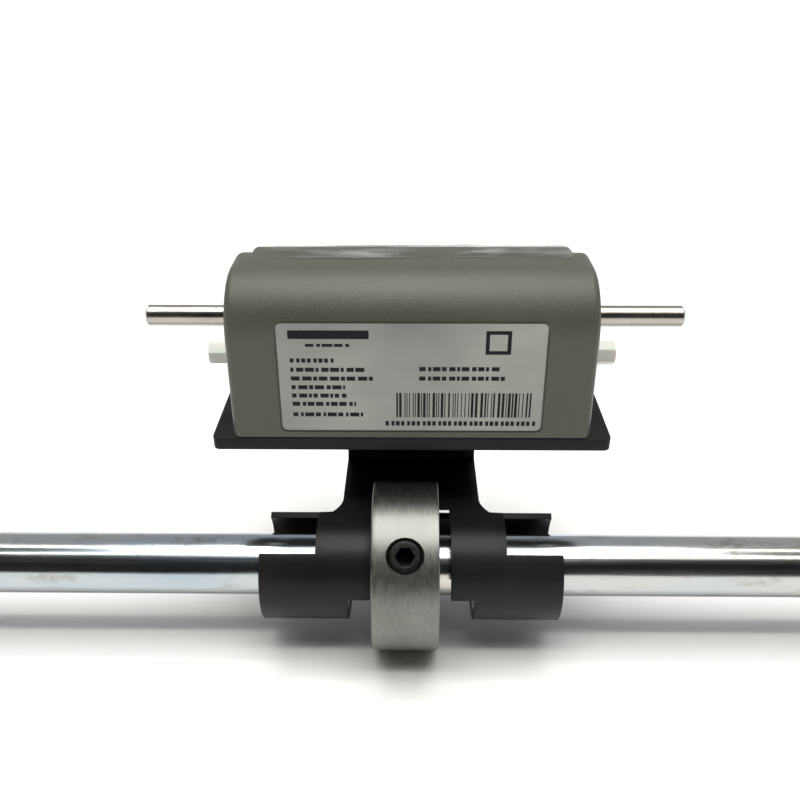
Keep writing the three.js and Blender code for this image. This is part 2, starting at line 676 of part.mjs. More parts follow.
// Each pinion joins the carry teeth on its left to the number wheel gear on its right.
function transferPinion(index) {
  const x1 = WHEEL.first + index * WHEEL.pitch + WHEEL.gear - GAP;
  const x0 = x1 - WHEEL.gear - WHEEL.carry + 0.1;
  const phase = meshing(CARRY_MESH.pinion, TO_PINIONS);
  const bore = PINION_SHAFT_RADIUS + GAP;
  const shape = gearShape(CARRY_MESH.pinion, CARRY_MESH.module, phase, bore);
  return piece(`transfer_pinion_${index + 1}`, alongX(shape, x0, x1), acetal(), PINION_AXIS);
}

// The shaft has a groove along it that picks the wheels up when it is turned to zero.
function numberWheelShaft() {
  const shape = new THREE.Shape();
  const edge = degrees(11);
  shape.absarc(0, 0, WHEEL_SHAFT_RADIUS, Math.PI / 2 + edge, Math.PI * 2.5 - edge, false);
  shape.lineTo(WHEEL_SHAFT_RADIUS * Math.sin(edge), WHEEL_SHAFT_RADIUS - 0.8);
  shape.lineTo(-WHEEL_SHAFT_RADIUS * Math.sin(edge), WHEEL_SHAFT_RADIUS - 0.8);
  return piece("number_wheel_shaft", alongX(shape, -41, 43), stainless(), WHEEL_AXIS);
}

// ---------------------------------------------------------------- zero reset

const RESET_GEAR_X = [36.8, 39.8];

function shaftResetGear() {
  const phase = meshing(RESET_MESH.gear, TO_RESET + Math.PI);
  const bore = WHEEL_SHAFT_RADIUS + GAP;
  const gear = gearShape(RESET_MESH.gear, RESET_MESH.module, phase, bore);
  return piece("shaft_reset_gear", alongX(gear, ...RESET_GEAR_X), acetal(), WHEEL_AXIS);
}

function resetGear() {
  const bore = RESET_SPINDLE.radius + GAP;
  const gear = gearShape(RESET_MESH.pinion, RESET_MESH.module, TO_RESET + Math.PI, bore);
  return piece("reset_gear", alongX(gear, ...RESET_GEAR_X), acetal(), RESET_AXIS);
}

function resetSpindle() {
  const { radius, halfLength } = RESET_SPINDLE;
  const outline = barOutline(-halfLength, halfLength, radius, 0.3);
  return piece("reset_spindle", turned(outline, 12), stainless(), RESET_AXIS);
}

// A white hexagon pushed over the end of the spindle, outside the housing.
function resetHex(name, side) {
  const { flats, inner, outer, bore } = RESET_HEX;
  const prism = solid(alongX(hexagon(flats, degrees(20)), inner, outer));
  const corners = flats / Math.sqrt(3);
  const rounding = solid(turned(barOutline(inner, outer, corners + 0.05, 0.7), 24));
  const hole = solid(bar(inner - 1, bore, RESET_SPINDLE.radius + GAP, 16));
  const geometry = fromSolid(prism.intersect(rounding).subtract(hole));
  if (side < 0) {
    geometry.rotateZ(Math.PI);
  }
  return piece(name, geometry, whiteNylon(), RESET_AXIS);
}

// ---------------------------------------------------------------- assembly

const each = (count, make) => Array.from({ length: count }, (_, index) => make(index));

const rodGroup = new THREE.Group();
rodGroup.add(mountingRod(), setCollar(), collarSetScrew());

const bushWidth = STRAP.outer - STRAP.lowerInner - 0.6;
const flangeUnder = PLATE.top - PLATE.thickness - GAP - SHEET;
const bracketGroup = new THREE.Group();
bracketGroup.add(
  swivelBracket(),
  bracketBush("bracket_bush_left", -STRAP.outer + 0.3),
  bracketBush("bracket_bush_right", STRAP.outer - 0.3 - bushWidth),
  ...screws("bracket_screw", M4, BRACKET_SCREWS, flangeUnder - GAP, 9.4),
  ...bracketNuts());

const housingGroup = new THREE.Group();
const plateUnder = PLATE.top - PLATE.thickness;
housingGroup.add(
  basePlate(), housing(), windowLens(), windowFilm(), ratingLabel(),
  ...screws("housing_screw", M3, HOUSING_SCREWS, plateUnder - GAP, 13),
  ...screws("frame_screw", M3, FRAME_SCREWS, plateUnder - GAP, 7.2));

const frameGroup = new THREE.Group();
frameGroup.add(
  ...sidePlates(), ...tieBars(), pinionShaft(),
  shaftBush("shaft_bush_left", SIDE_PLATE.left, 1),
  shaftBush("shaft_bush_right", SIDE_PLATE.right + SIDE_PLATE.thickness, -1));

const trainGroup = new THREE.Group();
trainGroup.add(
  driveShaft(), driveGear(),
  retainingRing("retaining_ring_left", CLIP.left, 0),
  retainingRing("retaining_ring_right", CLIP.right, 180),
  driverGear(), carryDisc(),
  ...each(WHEEL.count, numberWheel), ...each(WHEEL.count, transferPinion),
  numberWheelShaft(), shaftResetGear(), resetGear(), resetSpindle(),
  resetHex("reset_hex_left", -1), resetHex("reset_hex_right", 1));

const counter = new THREE.Group();
counter.add(rodGroup, bracketGroup, housingGroup, frameGroup, trainGroup);

export default counter;
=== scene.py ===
import math
import random

import bmesh
import bpy
from mathutils import Matrix, Vector, noise


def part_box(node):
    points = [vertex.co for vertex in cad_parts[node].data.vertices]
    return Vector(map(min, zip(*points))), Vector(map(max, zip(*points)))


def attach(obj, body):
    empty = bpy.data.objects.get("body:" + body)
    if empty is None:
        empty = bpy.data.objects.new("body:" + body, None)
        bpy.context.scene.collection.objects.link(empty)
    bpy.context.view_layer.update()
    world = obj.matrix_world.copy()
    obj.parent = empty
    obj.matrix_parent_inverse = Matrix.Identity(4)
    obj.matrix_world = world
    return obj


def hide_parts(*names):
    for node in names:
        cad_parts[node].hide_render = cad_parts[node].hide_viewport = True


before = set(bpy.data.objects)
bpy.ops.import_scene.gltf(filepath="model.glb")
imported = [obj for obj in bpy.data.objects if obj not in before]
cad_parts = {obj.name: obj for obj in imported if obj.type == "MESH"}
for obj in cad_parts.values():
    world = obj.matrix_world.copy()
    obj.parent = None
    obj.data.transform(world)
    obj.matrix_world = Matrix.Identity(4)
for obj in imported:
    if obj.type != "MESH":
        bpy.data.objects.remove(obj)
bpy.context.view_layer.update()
mm = 0.001


# ---- Mounting rod ----------------------------------------
# A cold-drawn steel bar, zinc plated and blue passivated, with its ends faced and
# chamfered. A machine frame clamps it at both ends.

def mesh_piece(name, points, faces, crease=35):
    """A mesh object, smooth except where its faces turn by more than `crease` degrees."""
    mesh = bpy.data.meshes.new(name)
    mesh.from_pydata([tuple(point) for point in points], [], faces)
    mesh.validate()
    shell = bmesh.new()
    shell.from_mesh(mesh)
    bmesh.ops.recalc_face_normals(shell, faces=shell.faces)
    shell.to_mesh(mesh)
    shell.free()
    mesh.shade_smooth()
    mesh.set_sharp_from_angle(angle=math.radians(crease))
    piece = bpy.data.objects.new(name, mesh)
    bpy.context.scene.collection.objects.link(piece)
    return piece


def turned(name, outline, centre=(0, 0), sides=96, ring=False):
    """Turns an outline of (x, radius) points about the line along X through centre."""
    points, rows = [], []
    for x, radius in outline:
        if radius == 0:
            rows.append([len(points)] * sides)
            points.append((x, centre[0], centre[1]))
            continue
        rows.append(range(len(points), len(points) + sides))
        for side in range(sides):
            angle = 2 * math.pi * side / sides
            points.append((x, centre[0] + radius * math.cos(angle),
                           centre[1] + radius * math.sin(angle)))
    pairs = list(zip(rows, rows[1:] + rows[:1] if ring else rows[1:]))
    faces = []
    for first, second in pairs:
        for side in range(sides):
            after = (side + 1) % sides
            corners = [first[side], first[after], second[after], second[side]]
            face = list(dict.fromkeys(corners))
            if len(face) > 2:
                faces.append(face)
    return mesh_piece(name, points, faces)


def rounded_bar(x0, x1, radius, edge, steps=4):
    """The outline of a bar whose two end edges are rounded over."""
    start = [(x0, 0)]
    for step in range(steps + 1):
        turn = math.pi / 2 * step / steps
        start.append((x0 + edge * (1 - math.cos(turn)), radius - edge * (1 - math.sin(turn))))
    finish = [(x0 + x1 - x, r) for x, r in reversed(start)]
    return start + finish


class Finish:
    """A material, with short calls for the nodes that its surface is made of."""

    def __init__(self, name, **sockets):
        self.made = bpy.data.materials.new(name)
        self.made.use_nodes = True
        self.nodes = self.made.node_tree.nodes
        self.links = self.made.node_tree.links
        self.shader = self.nodes["Principled BSDF"]
        for socket, value in sockets.items():
            self.shader.inputs[socket.replace("_", " ")].default_value = value
        self.place = self.nodes.new("ShaderNodeTexCoord").outputs["Object"]

    def noise(self, scale, stretch=(1, 1, 1), detail=4, rough=0.5):
        mapping = self.nodes.new("ShaderNodeMapping")
        mapping.inputs["Scale"].default_value = stretch
        self.links.new(self.place, mapping.inputs["Vector"])
        texture = self.nodes.new("ShaderNodeTexNoise")
        texture.inputs["Scale"].default_value = scale
        texture.inputs["Detail"].default_value = detail
        texture.inputs["Roughness"].default_value = rough
        self.links.new(mapping.outputs["Vector"], texture.inputs["Vector"])
        return texture.outputs["Fac"]

    def ramp(self, source, *stops):
        """Maps a value to colours or greys; each stop is (position, colour or grey)."""
        ramp = self.nodes.new("ShaderNodeValToRGB")
        colours = ramp.color_ramp.elements
        while len(colours) < len(stops):
            colours.new(0.5)
        for element, (position, value) in zip(colours, stops):
            element.position = position
            element.color = (*value, 1) if hasattr(value, "__len__") else (value,) * 3 + (1,)
        self.links.new(source, ramp.inputs["Fac"])
        return ramp.outputs["Color"]

    def mix(self, share, first, second, blend="MIX"):
        mix = self.nodes.new("ShaderNodeMix")
        mix.data_type, mix.blend_type = "RGBA", blend
        for socket, value in (("Factor", share), ("A", first), ("B", second)):
            place = next(s for s in mix.inputs if s.name == socket and s.enabled)
            if isinstance(value, bpy.types.NodeSocket):
                self.links.new(value, place)
            elif socket == "Factor":
                place.default_value = value
            else:
                place.default_value = (*value, 1)
        return next(s for s in mix.outputs if s.enabled)

    def colour(self, source):
        self.links.new(source, self.shader.inputs["Base Color"])

    def roughness(self, source):
        self.links.new(source, self.shader.inputs["Roughness"])

    def bump(self, source, depth, strength=1.0):
        bump = self.nodes.new("ShaderNodeBump")
        bump.inputs["Strength"].default_value = strength
        bump.inputs["Distance"].default_value = depth
        self.links.new(source, bump.inputs["Height"])
        earlier = self.shader.inputs["Normal"].links
        if earlier:
            self.links.new(earlier[0].from_socket, bump.inputs["Normal"])
        self.links.new(bump.outputs["Normal"], self.shader.inputs["Normal"])


def install(piece, body, material, slot, *nodes):
    """Gives a piece its finish and body, and hides the CAD nodes that it stands for."""
    piece.data.materials.clear()
    piece.data.materials.append(material)
    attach(piece, body)
    if nodes:
        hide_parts(*nodes)
    return piece


def plated_zinc():
    """Bright zinc over draw lines, with blue and straw cloudiness and small stains."""
    zinc = Finish("bright_zinc_plate", Metallic=1.0)
    lines = zinc.noise(900, (0.012, 1, 1), detail=6)
    cloud = zinc.noise(28, (0.35, 1, 1), detail=3)
    stain = zinc.noise(170, (0.5, 1, 1), detail=7, rough=0.7)
    tint = zinc.ramp(cloud, (0.36, (0.40, 0.46, 0.52)), (0.5, (0.50, 0.53, 0.54)),
                     (0.66, (0.55, 0.53, 0.49)))
    spots = zinc.ramp(stain, (0.54, (1, 1, 1)), (0.70, (0.68, 0.65, 0.61)))
    zinc.colour(zinc.mix(1.0, tint, spots, "MULTIPLY"))
    zinc.roughness(zinc.ramp(lines, (0.3, 0.12), (0.7, 0.26)))
    zinc.bump(lines, 0.00004)
    zinc.bump(stain, 0.00004, 0.5)
    return zinc.made


rod_low, rod_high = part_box("mounting_rod")
rod_radius = rod_high.z
rod = turned("plated_rod", rounded_bar(rod_low.x, rod_high.x, rod_radius, 0.9 * mm), sides=128)
install(rod, "rod", plated_zinc(), "zinc_rod", "mounting_rod")


# ---- Set collar ------------------------------------------
# Parted off aluminium bar on a lathe, so fine tool rings run round it. One edge is
# broken with a chamfer, and a tapped hole for the set screw goes through one side.

def settle(piece):
    """Makes a piece's modifiers part of its mesh."""
    settled = piece.evaluated_get(bpy.context.evaluated_depsgraph_get())
    mesh = bpy.data.meshes.new_from_object(settled)
    piece.modifiers.clear()
    rough = piece.data
    piece.data = mesh
    mesh.name = piece.name
    bpy.data.meshes.remove(rough)


def carve(piece, cutter, operation="DIFFERENCE"):
    """Cuts one mesh by another, or joins them, and removes the second."""
    step = piece.modifiers.new("carve", "BOOLEAN")
    step.operation, step.object, step.solver = operation, cutter, "EXACT"
    settle(piece)
    bpy.data.objects.remove(cutter)


def smooth(piece, crease=35):
    piece.data.shade_smooth()
    piece.data.set_sharp_from_angle(angle=math.radians(crease))


collar_low, collar_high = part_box("set_collar")
collar_radius = collar_high.z
collar_bore = rod_radius + 0.15 * mm
screw_elevation = math.radians(45)
screw_radius = 5 * mm
screw_x = (collar_low.x + collar_high.x) / 2


def collar_outline():
    """Bore, left face with its chamfer, the outside in steps, and the sharper right edge."""
    left, right = collar_low.x, collar_high.x
    outer, bore, chamfer, burr = collar_radius, collar_bore, 0.7 * mm, 0.25 * mm
    outline = [(left + 0.5 * mm, bore), (left, bore + 0.5 * mm), (left, outer - chamfer)]
    outline += [(left + chamfer * 0.4, outer - chamfer * 0.25), (left + chamfer, outer)]
    span = right - left - chamfer - burr
    outline += [(left + chamfer + span * step / 16, outer) for step in range(1, 17)]
    return outline + [(right, outer - burr), (right, bore + 0.5 * mm), (right - 0.5 * mm, bore)]


def radially(piece):
    """Moves a piece made along +X onto the set screw's line, through the collar's middle."""
    direction = Vector((0, -math.cos(screw_elevation), math.sin(screw_elevation)))
    turn = Vector((1, 0, 0)).rotation_difference(direction).to_matrix().to_4x4()
    piece.data.transform(Matrix.Translation((screw_x, 0, 0)) @ turn)
    return piece


def turned_aluminium():
    """Tool rings round the axis, short polishing scratches and duller, hazy patches."""
    metal = Finish("turned_aluminium", Metallic=1.0)
    rings = metal.noise(2600, (1, 0.03, 0.03), detail=5, rough=0.6)
    scratch = metal.noise(1900, (1, 0.12, 0.2), detail=6, rough=0.6)
    haze = metal.noise(60, (1, 0.6, 0.6), detail=5)
    base = metal.ramp(scratch, (0.32, (0.175, 0.18, 0.17)), (0.68, (0.25, 0.25, 0.23)))
    shade = metal.ramp(haze, (0.35, (0.86, 0.86, 0.85)), (0.65, (1, 1, 1)))
    metal.colour(metal.mix(1.0, base, shade, "MULTIPLY"))
    metal.roughness(metal.ramp(scratch, (0.3, 0.36), (0.75, 0.5)))
    metal.bump(rings, 0.00004, 0.8)
    metal.bump(scratch, 0.00003, 0.5)
    return metal.made


collar = turned("turned_collar", collar_outline(), sides=160, ring=True)
hole = [(5 * mm, 0), (5 * mm, screw_radius + 0.08 * mm), (25 * mm, screw_radius + 0.08 * mm),
        (27 * mm, screw_radius + 1.2 * mm), (27 * mm, 0)]
carve(collar, radially(turned("collar_hole", hole, sides=72)))
smooth(collar, 30)
install(collar, "collar", turned_aluminium(), "turned_aluminium", "set_collar")


# ---- Set screw -------------------------------------------
# A black-oxide socket set screw with a cup point, a few tenths below the surface of
# the collar. Its thread fills the tapped hole, so only its end and socket show.

def hexagon_prism(name, flats, x0, x1, phase=0.0):
    """A hexagonal bar along X, its corners turned by a phase."""
    reach = flats / math.sqrt(3)
    ring = [(reach * math.cos(phase + i * math.pi / 3), reach * math.sin(phase + i * math.pi / 3))
            for i in range(6)]
    points = [(x, y, z) for x in (x0, x1) for y, z in ring]
    sides = [[i, (i + 1) % 6, (i + 1) % 6 + 6, i + 6] for i in range(6)]
    return mesh_piece(name, points, sides + [list(range(6)), list(range(6, 12))])


def black_oxide():
    """Thin black oxide, oily and a little brown, rubbed lighter in places."""
    oxide = Finish("black_oxide", Metallic=0.3, Specular_IOR_Level=0.3)
    wear = oxide.noise(900, detail=6, rough=0.65)
    oxide.colour(oxide.ramp(wear, (0.35, (0.005, 0.0048, 0.0045)), (0.75, (0.02, 0.0185, 0.015))))
    oxide.roughness(oxide.ramp(wear, (0.3, 0.36), (0.7, 0.55)))
    oxide.bump(wear, 0.00003, 0.6)
    return oxide.made


screw_low, screw_top = 10.3 * mm, 25.0 * mm
socket_flats, socket_depth = 5 * mm, 7 * mm
screw_outline = [
    (screw_low, 0), (screw_low, 2.6 * mm), (screw_low + 2.2 * mm, screw_radius),
    (screw_top - 0.9 * mm, screw_radius), (screw_top - 0.5 * mm, screw_radius - 0.15 * mm),
    (screw_top - 0.1 * mm, screw_radius - 0.55 * mm), (screw_top, screw_radius - 0.8 * mm),
    (screw_top, 3.25 * mm), (screw_top - 0.12 * mm, 3.05 * mm), (screw_top - 0.12 * mm, 0)]
set_screw = turned("socket_set_screw", screw_outline, sides=64)
carve(set_screw, hexagon_prism("socket", socket_flats, screw_top - socket_depth,
                               screw_top + 1 * mm, 0.26))
smooth(radially(set_screw), 30)
install(set_screw, "collar", black_oxide(), "black_oxide", "collar_set_screw")


# ---- Swivel bracket --------------------------------------
# One piece of 2 mm steel sheet, blanked, rolled round the rod and bent up to the
# base plate, then powder coated satin black. Windows leave two straps and four tabs.

sheet = 2 * mm
bracket_low, bracket_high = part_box("swivel_bracket")
tube_radius = -bracket_low.z - sheet / 2
tube_half = bracket_high.x
strap_inner, strap_under, strap_outer = 12 * mm, 19.2 * mm, 28.6 * mm
neck_half, shoulder_y, flare = 21.5 * mm, 4.5 * mm, 7.1 * mm
flare_reach = 3.2 * mm
slot_y, slot_end_y = 8.4 * mm, 22.5 * mm
riser_y, bend = 36.6 * mm, 2.5 * mm
flange_z = bracket_high.z - sheet / 2
collar_slot = (collar_low.x - 0.3 * mm, collar_high.x + 0.3 * mm)


def bracket_rows():
    """The mid-sheet line as (y, z, stage), from the rear edge of the tube to the flange."""
    rows = []

    def arc(centre, radius, first, last, steps, stage):
        for step in range(steps):
            angle = math.radians(first + (last - first) * step / steps)
            rows.append((centre[0] + radius * math.cos(angle),
                         centre[1] + radius * math.sin(angle), stage))

    def straight(start, end, steps, stage):
        for step in range(steps):
            share = step / steps
            rows.append((start[0] + (end[0] - start[0]) * share,
                         start[1] + (end[1] - start[1]) * share, stage))

    top = tube_radius
    arc((0, 0), top, 37, 0, 12, "rear")
    arc((0, 0), top, 0, -180, 60, "under")
    arc((0, 0), top, -180, -230, 17, "front")
    arc((0, 0), top, -230, -270, 13, "over")
    straight((0, top), (shoulder_y, top), 3, "over")
    straight((shoulder_y, top), (shoulder_y + 0.3 * mm, top), 1, "flare")
    straight((shoulder_y + 0.3 * mm, top), (slot_y, top), 8, "flare")
    straight((slot_y, top), (shoulder_y + flare, top), 9, "flare_slotted")
    straight((shoulder_y + flare, top), (slot_end_y, top), 4, "slotted")
    straight((slot_end_y, top), (riser_y - bend, top), 4, "neck")
    arc((riser_y - bend, top + bend), bend, -90, 0, 8, "neck")
    straight((riser_y, top + bend), (riser_y, flange_z - bend), 6, "neck")
    arc((riser_y + bend, flange_z - bend), bend, 180, 90, 8, "neck")
    straight((riser_y + bend, flange_z), (bracket_high.y, flange_z), 6, "neck")
    rows.append((bracket_high.y, flange_z, "neck"))
    return rows


def bracket_keeps(stage, left, right):
    """Whether the blank has metal between two lines across it, at that stage of its length."""
    inner = min(abs(left), abs(right))
    outer = max(abs(left), abs(right))
    wide = outer > strap_outer + 0.01 * mm
    in_collar_slot = left > collar_slot[0] - 0.01 * mm and right < collar_slot[1] + 0.01 * mm
    if stage == "rear":
        return not in_collar_slot
    if stage == "under":
        return inner > strap_under - 0.01 * mm
    if stage == "front":
        return inner > strap_inner - 0.01 * mm
    if stage in ("over", "flare"):
        return inner > strap_inner - 0.01 * mm and not wide
    if stage == "flare_slotted":
        return not wide and not in_collar_slot
    narrow = outer < neck_half + 0.01 * mm
    return narrow and not (stage == "slotted" and in_collar_slot)


def bracket_mesh():
    lines = [-tube_half, -37 * mm, -strap_outer, -25 * mm, -neck_half, -strap_under, -15.6 * mm,
             collar_slot[0], -6 * mm, 0, 4.3 * mm, collar_slot[1], strap_inner, 15.6 * mm,
             strap_under, neck_half, 25 * mm, strap_outer, 37 * mm, tube_half]
    rows = bracket_rows()
    points = []
    for y, z, stage in rows:
        edge = strap_outer
        if stage.startswith("flare") or (stage == "slotted" and y <= shoulder_y + flare):
            share = max(1 - (y - shoulder_y) / flare, 0)
            edge = neck_half + flare_reach * share ** 2 if share < 1 else strap_outer
        for x in lines:
            beyond = neck_half < abs(x) <= strap_outer
            share = (abs(x) - neck_half) / (strap_outer - neck_half)
            placed = neck_half + (max(edge, neck_half) - neck_half) * share if beyond else abs(x)
            points.append((math.copysign(placed, x), y, z))
    faces = []
    count = len(lines)
    for row, (_, _, stage) in enumerate(rows[:-1]):
        for column in range(count - 1):
            if bracket_keeps(stage, lines[column], lines[column + 1]):
                first = row * count + column
                faces.append([first, first + 1, first + 1 + count, first + count])
    return points, faces


def break_edges(piece, edge, segments=3, angle=40):
    """Rounds the edges where a piece's faces turn by more than an angle."""
    step = piece.modifiers.new("edges", "BEVEL")
    step.width, step.segments = edge, segments
    step.limit_method, step.angle_limit = "ANGLE", math.radians(angle)


def thicken(piece, thickness, edge):
    """Gives a surface its sheet thickness and rounds its cut edges."""
    skin = piece.modifiers.new("sheet", "SOLIDIFY")
    skin.thickness, skin.offset, skin.use_even_offset = thickness, 0, True
    break_edges(piece, edge, angle=50)
    settle(piece)
    smooth(piece, 40)


def powder_coat():
    """Satin black powder coat: a fine orange peel, dust, and a faintly cloudy tone."""
    coat = Finish("black_powder_coat", Specular_IOR_Level=0.2)
    peel = coat.noise(1500, detail=3)
    cloud = coat.noise(45, detail=4)
    speck = coat.noise(2600, detail=2)
    black = coat.ramp(cloud, (0.3, (0.008, 0.0083, 0.0079)), (0.75, (0.012, 0.0124, 0.0117)))
    dust = coat.ramp(speck, (0.745, (0, 0, 0)), (0.78, (0.12, 0.12, 0.11)))
    coat.colour(coat.mix(1.0, black, dust, "ADD"))
    coat.roughness(coat.ramp(cloud, (0.3, 0.33), (0.7, 0.42)))
    coat.bump(peel, 0.00006, 0.7)
    return coat.made


def weld(piece, distance):
    """Merges points that lie together, and drops points that no face uses."""
    shell = bmesh.new()
    shell.from_mesh(piece.data)
    bmesh.ops.remove_doubles(shell, verts=shell.verts, dist=distance)
    bmesh.ops.dissolve_degenerate(shell, edges=shell.edges, dist=distance)
    loose = [point for point in shell.verts if not point.link_faces]
    bmesh.ops.delete(shell, geom=loose, context="VERTS")
    shell.to_mesh(piece.data)
    shell.free()


black_coat = powder_coat()
bracket = mesh_piece("rolled_bracket", *bracket_mesh())
weld(bracket, 0.02 * mm)
thicken(bracket, sheet, 0.3 * mm)
install(bracket, "counter", black_coat, "black_paint", "swivel_bracket")


# ---- Bracket bushes --------------------------------------
# Two plain nylon bushes, moulded natural white. Each is pushed into one strap of the
# rolled tube and runs on the rod, so the bracket turns without touching it.

def natural_nylon():
    """Milky nylon that lets light a little way in, with faint flow marks."""
    nylon = Finish("natural_nylon", Subsurface_Weight=0.35, Subsurface_Scale=0.003)
    flow = nylon.noise(140, (0.5, 1, 1), detail=4)
    nylon.colour(nylon.ramp(flow, (0.3, (0.60, 0.62, 0.57)), (0.7, (0.68, 0.70, 0.65))))
    nylon.roughness(nylon.ramp(flow, (0.3, 0.3), (0.7, 0.45)))
    nylon.bump(nylon.noise(1300, detail=3), 0.00003, 0.5)
    return nylon.made


def ring_outline(x0, x1, outer, bore, edge):
    """A plain ring with all four corners broken."""
    return [(x0 + edge, bore), (x0, bore + edge), (x0, outer - edge), (x0 + edge, outer),
            (x1 - edge, outer), (x1, outer - edge), (x1, bore + edge), (x1 - edge, bore)]


nylon = natural_nylon()
for side in ("left", "right"):
    low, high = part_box(f"bracket_bush_{side}")
    outline = ring_outline(low.x, high.x, high.z, rod_radius + 0.15 * mm, 0.5 * mm)
    bush = turned(f"nylon_bush_{side}", outline, ring=True)
    install(bush, "counter", nylon, "white_nylon", f"bracket_bush_{side}")


# ---- Base plate ------------------------------------------
# A black die-cast plate with rounded corners that closes the housing from below. The
# bracket, the housing and the counter's frame are all screwed to it.

def plate_points(low, high, corner, steps=8):
    """A rounded rectangle in plan, as (x, y) points."""
    outline = []
    for quarter, (x, y) in enumerate([(high.x - corner, high.y - corner),
                                      (low.x + corner, high.y - corner),
                                      (low.x + corner, low.y + corner),
                                      (high.x - corner, low.y + corner)]):
        for step in range(steps + 1):
            angle = math.pi / 2 * (quarter + step / steps)
            outline.append((x + corner * math.cos(angle), y + corner * math.sin(angle)))
    return outline


def soften(piece, edge, segments=3):
    """Rounds the sharp edges of a finished mesh."""
    break_edges(piece, edge, segments)
    settle(piece)
    smooth(piece)


def cast_black():
    """Black paint over a fine cast grain, greyer in broad patches where it has been handled."""
    cast = Finish("painted_casting", Specular_IOR_Level=0.2)
    grain = cast.noise(1900, detail=4, rough=0.6)
    rub = cast.noise(55, detail=5)
    cast.colour(cast.ramp(rub, (0.3, (0.005, 0.0052, 0.0055)), (0.75, (0.010, 0.0103, 0.0105))))
    cast.roughness(cast.ramp(grain, (0.3, 0.38), (0.75, 0.55)))
    cast.bump(grain, 0.00009, 0.8)
    return cast.made


plate_low, plate_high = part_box("base_plate")
plan = plate_points(plate_low, plate_high, 2 * mm)
count = len(plan)
points = [(x, y, z) for z in (plate_low.z, plate_high.z) for x, y in plan]
faces = [[i, (i + 1) % count, (i + 1) % count + count, i + count] for i in range(count)]
plate = mesh_piece("cast_base_plate", points,
                   faces + [list(range(count)), list(range(count, 2 * count))])
soften(plate, 0.35 * mm)
install(plate, "counter", cast_black(), "black_paint", "base_plate")


# ---- Housing ---------------------------------------------
# A grey moulded cover with a spark-eroded grain. Its front rolls over into the top in
# one large radius, and a raised bezel on the top and rear slope frames the window.

housing_low, housing_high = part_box("housing")
wall, shoulder_radius, front_lean = 2.2 * mm, 17 * mm, 0.8 * mm
shoulder_z, housing_top = 73.8 * mm, 90.8 * mm
slope_start, slope_end = Vector((36 * mm, housing_top)), Vector((61.6 * mm, 72 * mm))
slope_along = (slope_end - slope_start).normalized()
slope_out = Vector((-slope_along.y, slope_along.x))
bezel_front, bezel_full, bezel_down = 22.4 * mm, 28.8 * mm, 28.5 * mm
bezel_half, bezel_height = 47.6 * mm, 1.6 * mm


def on_slope(down, above):
    """A (y, z) point that far down the window face and that far above it."""
    point = slope_start + slope_along * down + slope_out * above
    return (point.x, point.y)


def slope_at(z, above):
    """Where a line parallel to the window face meets a height."""
    y0, z0 = on_slope(0, above)
    return (y0 + (z - z0) * slope_along.x / slope_along.y, z)


def arc_points(centre, radius, first, last, steps):
    return [(centre[0] + radius * math.cos(math.radians(first + (last - first) * i / steps)),
             centre[1] + radius * math.sin(math.radians(first + (last - first) * i / steps)))
            for i in range(steps + 1)]


def blend_corner(before, corner, after, reach, steps=6):
    """A corner rounded by a quadratic curve that starts `reach` away on each side."""
    corner = Vector(corner)
    start = corner + (Vector(before) - corner).normalized() * reach
    end = corner + (Vector(after) - corner).normalized() * reach
    curve = []
    for step in range(steps + 1):
        t = step / steps
        curve.append(tuple(start * (1 - t) ** 2 + corner * 2 * t * (1 - t) + end * t ** 2))
    return curve


def housing_side(inset, base):
    """The side outline of the housing, drawn in by an inset, as (y, z) points."""
    front, rear = housing_low.y + inset, housing_high.y - inset
    centre = (housing_low.y + front_lean + shoulder_radius, shoulder_z)
    knee = slope_at(housing_top - inset, -inset)
    rear_z = slope_end.y - inset * 0.6
    points = [(front, base)]
    points += arc_points(centre, shoulder_radius - inset, 180, 90, 24)
    points += blend_corner(points[-1], knee, slope_at(rear_z, -inset), 4 * mm)
    points += blend_corner(knee, slope_at(rear_z, -inset), (rear, base), 5 * mm)
    return points + [(rear, base)]


def prism(name, outline, half):
    """A (y, z) outline carried along X from -half to half."""
    count = len(outline)
    points = [(x, y, z) for x in (-half, half) for y, z in outline]
    faces = [[i, (i + 1) % count, (i + 1) % count + count, i + count] for i in range(count)]
    return mesh_piece(name, points, faces + [list(range(count)), list(range(count, 2 * count))])


def round_ends(piece, edge, segments, above):
    """Rounds a prism's two end outlines, apart from what lies below a height."""
    shell = bmesh.new()
    shell.from_mesh(piece.data)
    ends = [e for e in shell.edges
            if abs(e.verts[0].co.x - e.verts[1].co.x) < 1e-7
            and max(v.co.z for v in e.verts) > above]
    bmesh.ops.bevel(shell, geom=ends, offset=edge, segments=segments, profile=0.5,
                    affect="EDGES", clamp_overlap=True)
    shell.to_mesh(piece.data)
    shell.free()


def grey_moulding():
    """Grey plastic with an eroded grain, a slight sheen and a few pale scuffs."""
    grey = Finish("grey_moulding", Specular_IOR_Level=0.42)
    grain = grey.noise(2500, detail=4, rough=0.6)
    fine = grey.noise(5200, detail=2)
    cloud = grey.noise(30, detail=4)
    base = grey.ramp(cloud, (0.3, (0.072, 0.076, 0.056)), (0.72, (0.083, 0.087, 0.065)))
    fleck = grey.ramp(grain, (0.3, (0.93, 0.93, 0.93)), (0.72, (1.06, 1.06, 1.06)))
    grey.colour(grey.mix(1.0, base, fleck, "MULTIPLY"))
    grey.roughness(grey.ramp(cloud, (0.3, 0.31), (0.7, 0.38)))
    grey.bump(grain, 0.00016, 0.8)
    grey.bump(fine, 0.00006, 0.6)
    return grey.made


housing = prism("moulded_housing", housing_side(0, housing_low.z), housing_high.x)
round_ends(housing, 2.2 * mm, 5, housing_low.z + 0.1 * mm)
draft = 0.06  # share of the half-width lost for each metre of height
for vertex in housing.data.vertices:
    vertex.co.x *= 1 - draft * (vertex.co.z - housing_low.z)

